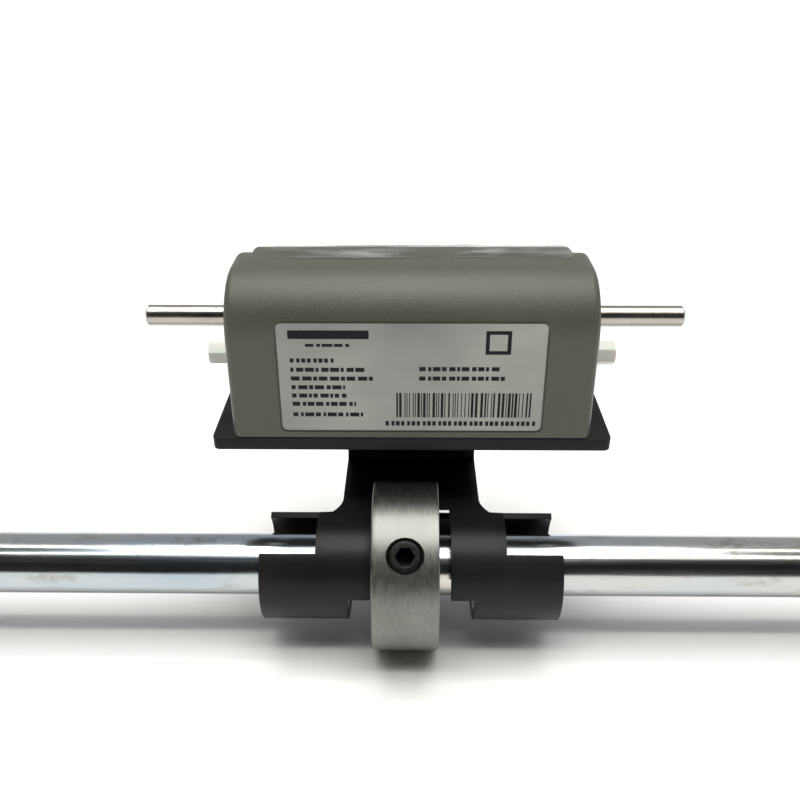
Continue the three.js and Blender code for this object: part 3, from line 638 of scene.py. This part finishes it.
bezel_top = housing_top + bezel_height
ramp_foot, ramp_head = (bezel_front, housing_top - 0.05 * mm), (bezel_full, bezel_top)
bezel_outline = [(bezel_front, housing_top - 4 * mm), ramp_foot]
bezel_outline += blend_corner(ramp_foot, ramp_head, (bezel_full + 1, bezel_top), 2.5 * mm)
bezel_outline += blend_corner(ramp_head, slope_at(bezel_top, bezel_height),
                              on_slope(bezel_down, bezel_height), 4 * mm)
bezel_outline += blend_corner(slope_at(bezel_top, bezel_height), on_slope(bezel_down, bezel_height),
                              on_slope(bezel_down + 1.5 * mm, 0), 0.8 * mm)
bezel_outline += [on_slope(bezel_down + 1.5 * mm, 0), on_slope(bezel_down + 1.5 * mm, -4 * mm)]
bezel = prism("bezel", bezel_outline, bezel_half)
round_ends(bezel, 1.7 * mm, 5, 0)
carve(housing, bezel, "UNION")

carve(housing, prism("cavity", housing_side(wall, housing_low.z - 3 * mm), housing_high.x - wall))
lens_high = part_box("window_lens")[1]
lens_from, lens_to, lens_thick, lens_gap = 13.3 * mm, 27.1 * mm, 1.5 * mm, 0.25 * mm
lens_ledge = 1.7 * mm


def slope_block(name, half, first, last, low, high):
    return prism(name, [on_slope(first, low), on_slope(last, low),
                        on_slope(last, high), on_slope(first, high)], half)


carve(housing, slope_block("seat", lens_high.x + lens_gap, lens_from - lens_gap,
                           lens_to + lens_gap, bezel_height - lens_thick - lens_gap, 6 * mm))
carve(housing, slope_block("sight", lens_high.x - lens_ledge, lens_from + lens_ledge,
                           lens_to - lens_ledge, -6 * mm, 6 * mm))

label_low, label_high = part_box("rating_label")
label_foot = label_low.z - 0.8 * mm
label_width, label_height = label_high.x - label_low.x, label_high.z - label_low.z
lean = math.atan2(front_lean, shoulder_z - housing_low.z)


def on_front(x, up, out):
    """A point of the housing's front: across, up from the label's foot, and proud of it."""
    foot_y = housing_low.y + math.tan(lean) * (label_foot - housing_low.z)
    return (x, foot_y + up * math.sin(lean) - out * math.cos(lean),
            label_foot + up * math.cos(lean) + out * math.sin(lean))


def rounded_patch(x0, x1, up0, up1, corner, steps=6):
    """Corner points of a rounded rectangle on the front, as (across, up)."""
    if corner == 0:
        return [(x0, up0), (x1, up0), (x1, up1), (x0, up1)]
    spots = [(x1 - corner, up1 - corner), (x0 + corner, up1 - corner),
             (x0 + corner, up0 + corner), (x1 - corner, up0 + corner)]
    return [(x + corner * math.cos(math.pi / 2 * (q + i / steps)),
             up + corner * math.sin(math.pi / 2 * (q + i / steps)))
            for q, (x, up) in enumerate(spots) for i in range(steps + 1)]


def patches(name, outlines, low, high):
    """Thin shapes on the housing's front, from one height above it to another."""
    points, faces = [], []
    for outline in outlines:
        start, count = len(points), len(outline)
        points += [on_front(x, up, out) for out in (low, high) for x, up in outline]
        faces += [[start + i, start + (i + 1) % count, start + (i + 1) % count + count,
                   start + i + count] for i in range(count)]
        faces += [[start + i for i in range(count)], [start + count + i for i in range(count)]]
    return mesh_piece(name, points, faces)


def label_recess():
    """The shallow pocket, a little larger than the label, that the label is stuck in."""
    margin = 0.55 * mm
    return patches("recess", [rounded_patch(
        label_low.x - margin, label_high.x + margin, -margin, label_height + margin,
        2 * mm, 8)], -0.4 * mm, 2 * mm)


shaft_low, shaft_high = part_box("drive_shaft")
shaft_centre = ((shaft_low.y + shaft_high.y) / 2, (shaft_low.z + shaft_high.z) / 2)
shaft_radius = (shaft_high.z - shaft_low.z) / 2
hex_low, hex_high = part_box("reset_hex_right")
hex_centre = ((hex_low.y + hex_high.y) / 2, (hex_low.z + hex_high.z) / 2)
past_wall = housing_high.x + 3 * mm
for name, centre, radius in (("shaft_hole", shaft_centre, shaft_radius + 0.6 * mm),
                             ("hex_hole", hex_centre, 4.6 * mm)):
    through = [(-past_wall, 0), (-past_wall, radius), (past_wall, radius), (past_wall, 0)]
    carve(housing, turned(name, through, centre, sides=48))
carve(housing, label_recess())
weld(housing, 0.01 * mm)
smooth(housing, 32)
install(housing, "counter", grey_moulding(), "grey_moulding", "housing")


# ---- Window lens -----------------------------------------
# Clear acrylic, die cut with polished edges, bonded on a ledge inside the bezel and
# flush with it. The six figures are read through it.

def clear_acrylic():
    """Polished acrylic with a trace of handling haze."""
    clear = Finish("clear_acrylic", Transmission_Weight=1.0, IOR=1.49)
    haze = clear.noise(90, detail=5)
    clear.roughness(clear.ramp(haze, (0.4, 0.015), (0.8, 0.07)))
    clear.colour(clear.ramp(haze, (0.3, (0.96, 0.98, 0.98)), (0.7, (0.99, 1, 1))))
    return clear.made


def dress(node, material, edge=0.0):
    """Gives a CAD node its finish, and breaks its sharp edges."""
    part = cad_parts[node]
    part.data.materials.clear()
    part.data.materials.append(material)
    if edge:
        break_edges(part, edge, segments=2)


dress("window_lens", clear_acrylic(), 0.25 * mm)


# ---- Protective film -------------------------------------
# A thin clear film laid over the window and bezel in the factory and never peeled
# off. It has lifted in long creases, which catch the light as pale lines.

film_low, film_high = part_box("window_film")
film_gap, film_thick = 0.2 * mm, 0.1 * mm
film_start_y = film_low.y


def film_path(steps):
    """The film's line over the bezel as (point, normal, length so far), all in (y, z)."""
    rise = bezel_height * (film_start_y - bezel_front) / (bezel_full - bezel_front)
    corners = [Vector((film_start_y, housing_top + rise + film_gap)),
               Vector((bezel_full, bezel_top + film_gap)),
               Vector(slope_at(bezel_top + film_gap, bezel_height + film_gap)),
               Vector(on_slope(bezel_down, bezel_height + film_gap))]
    legs = [after - before for before, after in zip(corners, corners[1:])]
    whole = sum(leg.length for leg in legs)
    line = []
    for step in range(steps + 1):
        run = whole * step / steps
        left, leg = run, 0
        while leg < len(legs) - 1 and left > legs[leg].length:
            left -= legs[leg].length
            leg += 1
        point = corners[leg] + legs[leg].normalized() * left
        knee_run = run - (whole - legs[2].length)
        share = min(max(knee_run / (5 * mm) + 0.5, 0), 1)
        share = share * share * (3 - 2 * share)
        normal = (Vector((0, 1)) * (1 - share) + slope_out * share).normalized()
        point = point - Vector((0, 1)) * 0.35 * mm * math.exp(-(knee_run / (1.6 * mm)) ** 2)
        line.append((point, normal, run))
    return line


def crease_height(x, run):
    """Long folds across the film, a few cross folds, and small crumples."""
    first = noise.noise(Vector((x * 26, run * 150, 1.7)))
    second = noise.noise(Vector((x * 55 + 3, run * 240, 9.1)))
    crumple = noise.noise(Vector((x * 160, run * 260, 4.4)))
    fold = max(0.0, 1 - abs(first) * 6) * 0.42 + max(0.0, 1 - abs(second) * 7) * 0.25
    return (fold + 0.12 * crumple) * 0.5 * mm


def film_piece():
    columns, rows = 230, 84
    line = film_path(rows)
    points = []
    for point, normal, run in line:
        for column in range(columns + 1):
            x = film_low.x + (film_high.x - film_low.x) * column / columns
            edge = 0.6 * mm * noise.noise(Vector((x * 90, 7.3, 0))) if run == 0 else 0
            lift = crease_height(x, run)
            placed = point + normal * lift
            points.append((x, placed.x + edge, placed.y))
    width = columns + 1
    faces = [[r * width + c, r * width + c + 1, (r + 1) * width + c + 1, (r + 1) * width + c]
             for r in range(rows) for c in range(columns)]
    return mesh_piece("creased_film", points, faces, 80)


def thin_film():
    """Clear film: mostly see-through, shiny, and milky along its folds."""
    film = Finish("clear_film", Specular_IOR_Level=0.6)
    crease = film.noise(110, (0.35, 1.6, 1.6), detail=5, rough=0.6)
    film.colour(film.ramp(crease, (0.42, (0.15, 0.155, 0.14)), (0.66, (0.42, 0.43, 0.41))))
    film.roughness(film.ramp(crease, (0.3, 0.12), (0.7, 0.28)))
    opacity = film.ramp(crease, (0.44, 0.08), (0.68, 0.45))
    film.links.new(opacity, film.shader.inputs["Alpha"])
    return film.made


film = film_piece()
skin = film.modifiers.new("film", "SOLIDIFY")
skin.thickness, skin.offset = film_thick, 0
install(film, "counter", thin_film(), "clear_film", "window_film")
film_length = film_path(10)[-1][2]


# ---- Rating label ----------------------------------------
# Satin silver foil with rounded corners, stuck to the front of the housing. All of
# its print is plain bars in place of words, and a bar block that encodes nothing.

foil_thick, ink_thick, foil_depth = 0.12 * mm, 0.02 * mm, -0.36 * mm


def silver_foil():
    """Satin foil, very finely brushed along its length and gently rippled, its colour lighter and
    darker in broad patches of painted reflection.
    """
    foil = Finish("silver_foil", Metallic=0.85)
    brushed = foil.noise(1700, (0.03, 1, 1), detail=4)
    ripple_and_reflection = foil.noise(16, detail=3)
    # The broad lighter and darker patches in the foil's colour are painted reflection; the ripple's
    # bump is the foil's own waviness.
    foil.colour(foil.ramp(ripple_and_reflection, (0.34, (0.17, 0.175, 0.165)), (0.62, (0.29, 0.29, 0.27))))
    foil.roughness(foil.ramp(brushed, (0.3, 0.3), (0.7, 0.4)))
    foil.bump(brushed, 0.00002, 0.5)
    foil.bump(ripple_and_reflection, 0.00025, 0.35)
    return foil.made


def label_ink():
    """Black thermal print, slightly uneven."""
    ink = Finish("label_ink", Specular_IOR_Level=0.15)
    wear = ink.noise(1500, detail=4)
    ink.colour(ink.ramp(wear, (0.3, (0.004, 0.004, 0.0045)), (0.75, (0.015, 0.015, 0.0155))))
    ink.roughness(ink.ramp(wear, (0.3, 0.4), (0.7, 0.55)))
    return ink.made


def dashes(x0, x1, up, height, lengths):
    """A line of short bars with gaps between them, in place of a line of words."""
    row, x, turn = [], x0, 0
    while x < x1 - 0.3 * mm:
        length = min(lengths[turn % len(lengths)] * mm, x1 - x)
        row.append(rounded_patch(x, x + length, up, up + height, 0))
        x += length + (0.42 if turn % 3 else 0.75) * mm
        turn += 1
    return row


def label_print():
    left, half = -label_width / 2, label_width / 2
    marks = []
    marks.append(rounded_patch(left + 3.2 * mm, left + 26 * mm, 29.3 * mm, 31.9 * mm, 0.3 * mm))
    marks += dashes(left + 8 * mm, left + 21 * mm, 26.9 * mm, 0.9 * mm, [2.4, 1.1, 3.1])
    frame_x, frame_up, frame_size, frame_line = 20.8 * mm, 24.6 * mm, 7.2 * mm, 1.1 * mm
    for x0, x1, up0, up1 in (
            (0, frame_size, 0, frame_line), (0, frame_size, frame_size - frame_line, frame_size),
            (0, frame_line, frame_line, frame_size - frame_line),
            (frame_size - frame_line, frame_size, frame_line, frame_size - frame_line)):
        marks.append(rounded_patch(frame_x + x0, frame_x + x1, frame_up + up0, frame_up + up1, 0))
    lines = [(22.0, 15.5, [1.1, 1.0, 1.2]), (19.1, 24.5, [0.9, 2.1, 2.6]),
             (16.3, 27.0, [2.5, 2.7, 1.2]), (13.5, 18.5, [1.2, 2.7]), (10.8, 18.8, [1.3, 2.4, 0.9]),
             (8.1, 21.5, [2.2, 1.0, 2.0]), (4.6, 23.5, [1.5, 0.8, 2.7])]
    for up, run, lengths in lines:
        marks += dashes(left + 3.4 * mm, left + 3.4 * mm + (run - 3) * mm, up * mm, 1.3 * mm, lengths)
    for up, run in ((19.4, 23.0), (16.4, 25.0)):
        marks += dashes(2.2 * mm, 2.2 * mm + run * mm, up * mm, 1.3 * mm, [1.8, 0.9, 2.2, 1.3])
    draw = random.Random(7)
    x, end = -4.4 * mm, half - 3.4 * mm
    while x < end:
        bar = draw.choice((0.28, 0.28, 0.5, 0.75)) * mm
        marks.append(rounded_patch(x, x + bar, 4.4 * mm, 12.4 * mm, 0))
        x += bar + draw.choice((0.32, 0.45, 0.8)) * mm
    marks += dashes(-7.6 * mm, half - 1.5 * mm, 1.6 * mm, 1.5 * mm, [1.0, 0.9, 1.1])
    return marks


label_shape = rounded_patch(-label_width / 2, label_width / 2, 0, label_height, 1.5 * mm, 10)
label = patches("foil_label", [label_shape], foil_depth, foil_depth + foil_thick)
install(label, "counter", silver_foil(), "silver_foil", "rating_label")
ink_low = foil_depth + foil_thick + 0.005 * mm
ink = patches("label_print", label_print(), ink_low, ink_low + ink_thick)
install(ink, "counter", label_ink(), "silver_foil")


# ---- Fasteners -------------------------------------------
# Zinc-plated socket screws and thin nuts. The bracket is bolted to the plate, and
# the housing and the counter's frame are screwed down from below.

def zinc_surface(name, scale, stretch, dark, light, gloss, depth):
    """Zinc, with marks that change its tone, its gloss and its height together."""
    zinc = Finish(name, Metallic=1.0)
    marks = zinc.noise(scale, stretch, detail=5)
    zinc.colour(zinc.ramp(marks, (0.3, dark), (0.7, light)))
    zinc.roughness(zinc.ramp(marks, (0.3, gloss), (0.7, 0.42)))
    zinc.bump(marks, depth, 0.5)
    return zinc.made


hardware = zinc_surface("zinc_hardware", 420, (1, 1, 1), (0.50, 0.52, 0.54),
                        (0.68, 0.68, 0.64), 0.24, 0.00004)
for number in range(1, 5):
    for kind in ("bracket_screw", "bracket_nut", "housing_screw", "frame_screw"):
        dress(f"{kind}_{number}", hardware, 0.15 * mm)


# ---- Counter frame ---------------------------------------
# Two pressed side plates with bent feet, held apart by two riveted tie bars. They
# carry the flanged brass bushes, the pinion shaft and all of the wheels.

def machined_brass():
    """Brass as cut, with turning marks and a little tarnish."""
    brass = Finish("machined_brass", Metallic=1.0)
    marks = brass.noise(1300, (1, 0.1, 0.1), detail=4)
    tarnish = brass.noise(120, detail=5)
    brass.colour(brass.ramp(tarnish, (0.3, (0.46, 0.31, 0.12)), (0.7, (0.66, 0.48, 0.20))))
    brass.roughness(brass.ramp(marks, (0.3, 0.22), (0.7, 0.38)))
    brass.bump(marks, 0.00003, 0.5)
    return brass.made


steel = zinc_surface("frame_steel", 700, (1, 0.04, 1), (0.48, 0.50, 0.52),
                     (0.62, 0.63, 0.63), 0.28, 0.00003)
brass = machined_brass()
for node in ("side_plate_left", "side_plate_right", "tie_bar_1", "tie_bar_2"):
    dress(node, steel)
for node in ("shaft_bush_left", "shaft_bush_right", "drive_gear", "driver_gear"):
    dress(node, brass)


# ---- Drive shaft -----------------------------------------
# A ground stainless shaft right through the counter, 6.35 mm across, its ends
# chamfered to start a measuring wheel. Two retaining rings hold it in the frame.

def ground_stainless():
    """Centreless ground: very fine rings round the shaft, warm and lightly rubbed."""
    ground = Finish("ground_stainless", Metallic=1.0)
    rings = ground.noise(7000, (1, 0.03, 0.03), detail=3)
    rub = ground.noise(230, (0.4, 1, 1), detail=5)
    ground.colour(ground.ramp(rub, (0.3, (0.36, 0.34, 0.305)), (0.7, (0.46, 0.44, 0.40))))
    ground.roughness(ground.ramp(rub, (0.3, 0.2), (0.7, 0.28)))
    ground.bump(rings, 0.000006, 0.5)
    return ground.made


stainless = ground_stainless()
chamfer = 0.55 * mm
shaft_outline = [
    (shaft_low.x, 0), (shaft_low.x, shaft_radius - chamfer), (shaft_low.x + chamfer, shaft_radius)]
for name in ("retaining_ring_left", "retaining_ring_right"):
    ring_low, ring_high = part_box(name)
    start, end = ring_low.x - 0.1 * mm, ring_high.x + 0.1 * mm
    shaft_outline += [(start, shaft_radius), (start, 2.6 * mm), (end, 2.6 * mm), (end, shaft_radius)]
    dress(name, black_oxide(), 0.1 * mm)
shaft_outline += [(shaft_high.x - chamfer, shaft_radius), (shaft_high.x, shaft_radius - chamfer),
                  (shaft_high.x, 0)]
shaft = turned("ground_drive_shaft", shaft_outline, shaft_centre, sides=80)
install(shaft, "drive", stainless, "stainless", "drive_shaft")


# ---- Wheel shafts ----------------------------------------
# The number wheels run on a grooved stainless shaft, the pinions on a plain one, and
# the reset spindle turns the grooved shaft through a pair of gears.

for node in ("pinion_shaft", "number_wheel_shaft", "reset_spindle"):
    dress(node, stainless)


def natural_acetal():
    """Machined acetal, ivory and slightly waxy."""
    acetal = Finish("natural_acetal", Subsurface_Weight=0.15, Subsurface_Scale=0.001)
    flow = acetal.noise(240, detail=4)
    acetal.colour(acetal.ramp(flow, (0.3, (0.66, 0.64, 0.55)), (0.7, (0.76, 0.74, 0.66))))
    acetal.roughness(acetal.ramp(flow, (0.3, 0.34), (0.7, 0.48)))
    acetal.bump(acetal.noise(1600, detail=3), 0.00002, 0.5)
    return acetal.made


ivory = natural_acetal()
for node in ("carry_disc", "reset_gear", "shaft_reset_gear"):
    dress(node, ivory)
for number in range(1, 7):
    dress(f"transfer_pinion_{number}", ivory)


# ---- Reset hexagons --------------------------------------
# White nylon hexagons pushed over the ends of the reset spindle, just outside the
# housing. A key or knob fits over either one to turn the figures back to zero.

def reset_end(name, side):
    """A hexagonal bar with a rounded end, on the side of the housing that `side` gives."""
    flats, phase = 7.4 * mm, math.radians(20)
    inner, outer = 46.5 * mm, hex_high.x
    bore_radius, bore_end = 2.2 * mm, 63 * mm
    prism_end = hexagon_prism(name, flats, inner, outer, phase)
    dome = turned("dome", rounded_bar(inner, outer, flats / math.sqrt(3) + 0.05 * mm, 0.9 * mm),
                  sides=64)
    carve(prism_end, dome, "INTERSECT")
    open_end = inner - 1 * mm
    bore = [(open_end, 0), (open_end, bore_radius), (bore_end, bore_radius), (bore_end, 0)]
    carve(prism_end, turned("bore", bore, sides=32))
    if side < 0:
        prism_end.data.transform(Matrix.Rotation(math.pi, 4, "Z"))
    prism_end.data.transform(Matrix.Translation((0, *hex_centre)))
    soften(prism_end, 0.2 * mm, 2)
    return prism_end


for side, sign in (("left", -1), ("right", 1)):
    end = reset_end(f"nylon_hexagon_{side}", sign)
    install(end, "reset", nylon, "white_nylon", f"reset_hex_{side}")


# ---- Number wheels ---------------------------------------
# Black moulded drums with the figures 0 to 9 printed in white round each one. Every
# drum shows 0 in the window, and the reader's right-hand wheel counts the units.

def black_moulding():
    """Black plastic, semi-gloss, faintly grained."""
    black = Finish("black_moulding")
    grain = black.noise(1500, detail=3)
    black.colour(black.ramp(grain, (0.3, (0.010, 0.010, 0.011)), (0.7, (0.022, 0.022, 0.023))))
    black.roughness(black.ramp(grain, (0.3, 0.32), (0.7, 0.45)))
    black.bump(grain, 0.00003, 0.5)
    return black.made


def white_figures():
    """Hot-stamped white figures."""
    white = Finish("white_figures")
    stamp = white.noise(900, detail=4)
    white.colour(white.ramp(stamp, (0.3, (0.74, 0.74, 0.71)), (0.7, (0.86, 0.86, 0.84))))
    white.roughness(white.ramp(stamp, (0.3, 0.4), (0.7, 0.55)))
    return white.made


def figure_mesh(figure, size, thickness):
    """One printed figure as flat, centred points and faces."""
    text = bpy.data.curves.new("figure", "FONT")
    text.body, text.size, text.align_x, text.align_y = figure, size, "CENTER", "CENTER"
    text.extrude, text.resolution_u = thickness, 4
    holder = bpy.data.objects.new("figure", text)
    bpy.context.scene.collection.objects.link(holder)
    bpy.context.view_layer.update()
    mesh = bpy.data.meshes.new_from_object(
        holder.evaluated_get(bpy.context.evaluated_depsgraph_get()))
    points = [tuple(v.co) for v in mesh.vertices]
    faces = [list(p.vertices) for p in mesh.polygons]
    bpy.data.objects.remove(holder)
    bpy.data.curves.remove(text)
    bpy.data.meshes.remove(mesh)
    return points, faces


figure_shapes = [figure_mesh(str(value), 7.4 * mm, 0.03 * mm) for value in range(10)]
drum_radius, drum_gap = 12.8 * mm, 0.06 * mm
wheel_gear_width, drum_width = 2.2 * mm, 6 * mm
wheel_low, wheel_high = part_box("number_wheel_1")
wheel_centre = ((wheel_low.y + wheel_high.y) / 2, (wheel_low.z + wheel_high.z) / 2)
window_angle = math.atan2(slope_out.y, slope_out.x)
drum_black, figure_white = black_moulding(), white_figures()


def wheel_figures(number, middle):
    """The ten figures of one wheel, wrapped round its drum, upright to the reader."""
    points, faces = [], []
    for value, (shape, sides) in enumerate(figure_shapes):
        start = len(points)
        for across, up, out in shape:
            angle = window_angle - math.pi / 5 * value + up / drum_radius
            radius = drum_radius + drum_gap + out
            points.append((middle - across, wheel_centre[0] + radius * math.cos(angle),
                           wheel_centre[1] + radius * math.sin(angle)))
        faces += [[start + corner for corner in side] for side in sides]
    return mesh_piece(f"wheel_figures_{number}", points, faces)


for number in range(1, 7):
    dress(f"number_wheel_{number}", drum_black)
    low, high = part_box(f"number_wheel_{number}")
    drum_middle = low.x + wheel_gear_width + drum_width / 2
    figures = wheel_figures(number, drum_middle)
    install(figures, f"wheel_{number}", figure_white, "black_moulding")


# ---- Studio ----------------------------------------------
# A pale floor under the collar, two long tubes and a soft sky overhead, and a dim
# surround, so that bright metal shows a dark band. The backdrop looks pale itself.

def white_floor():
    pale = Finish("pale_floor", Roughness=0.9, Specular_IOR_Level=0.1)
    tone = pale.noise(0.8, detail=1)
    pale.colour(pale.ramp(tone, (0.3, (0.92, 0.92, 0.92)), (0.7, (0.94, 0.94, 0.94))))
    return pale.made


floor_z = -collar_radius - 0.05 * mm
reach = 30
floor = mesh_piece("floor", [(-reach, -reach, floor_z), (reach, -reach, floor_z),
                             (reach, reach, floor_z), (-reach, reach, floor_z)], [[0, 1, 2, 3]])
floor.data.materials.append(white_floor())

world = bpy.data.worlds.new("surround")
bpy.context.scene.world = world
world.use_nodes = True
tree = world.node_tree
heading = tree.nodes.new("ShaderNodeTexCoord")
split = tree.nodes.new("ShaderNodeSeparateXYZ")
tree.links.new(heading.outputs["Generated"], split.inputs["Vector"])
total = tree.nodes.new("ShaderNodeMix")
total.data_type, total.blend_type = "RGBA", "ADD"
total.inputs[0].default_value = 1.0
for axis, socket, stops in (("Y", 6, [(0.05, 0.02), (0.55, 0.5)]), ("Z", 7, [(0.75, 0.0), (1.0, 0.3)])):
    ramp = tree.nodes.new("ShaderNodeValToRGB")
    for element, (position, grey) in zip(ramp.color_ramp.elements, stops):
        element.position = position
        element.color = (grey, grey, grey, 1)
    tree.links.new(split.outputs[axis], ramp.inputs["Fac"])
    tree.links.new(ramp.outputs["Color"], total.inputs[socket])
seen = tree.nodes.new("ShaderNodeLightPath").outputs["Is Camera Ray"]
backdrop = tree.nodes.new("ShaderNodeMix")
backdrop.data_type = "RGBA"
backdrop.inputs[7].default_value = (0.93, 0.93, 0.93, 1)
tree.links.new(seen, backdrop.inputs[0])
tree.links.new(total.outputs[2], backdrop.inputs[6])
tree.links.new(backdrop.outputs[2], tree.nodes["Background"].inputs["Color"])


def strip_light(name, elevation, power, warmth):
    """A tube light parallel to the rod, at an elevation seen from the front."""
    lamp = bpy.data.lights.new(name, "AREA")
    lamp.shape, lamp.size, lamp.size_y = "RECTANGLE", 4.0, 0.17
    lamp.energy, lamp.color = power, warmth
    holder = bpy.data.objects.new(name, lamp)
    bpy.context.scene.collection.objects.link(holder)
    turn = math.radians(elevation)
    holder.location = (0, -2 * math.cos(turn), 2 * math.sin(turn))
    holder.rotation_euler = (turn - math.pi / 2, 0, 0)


strip_light("rear_tube", 103, 17, (1.0, 0.98, 0.88))
strip_light("front_tube", 74, 17, (1.0, 0.98, 0.88))
sun = bpy.data.lights.new("diffused_skylight", "SUN")
sun.energy, sun.angle = 2.5, math.radians(50)
skylight = bpy.data.objects.new("diffused_skylight", sun)
bpy.context.scene.collection.objects.link(skylight)

eye = bpy.data.cameras.new("camera")
eye.lens, eye.sensor_width = 38.25, 36
eye.clip_start, eye.clip_end = 0.01, 100
camera = bpy.data.objects.new("camera", eye)
camera.location = (-0.129 * mm, -208.987 * mm, 176.114 * mm)
camera.rotation_euler = (math.radians(90 - 29.199), 0, math.radians(0.848))
camera.rotation_euler.rotate_axis("Z", math.radians(-0.224))
bpy.context.scene.collection.objects.link(camera)
bpy.context.scene.camera = camera
bpy.context.scene.view_settings.view_transform = "Standard"
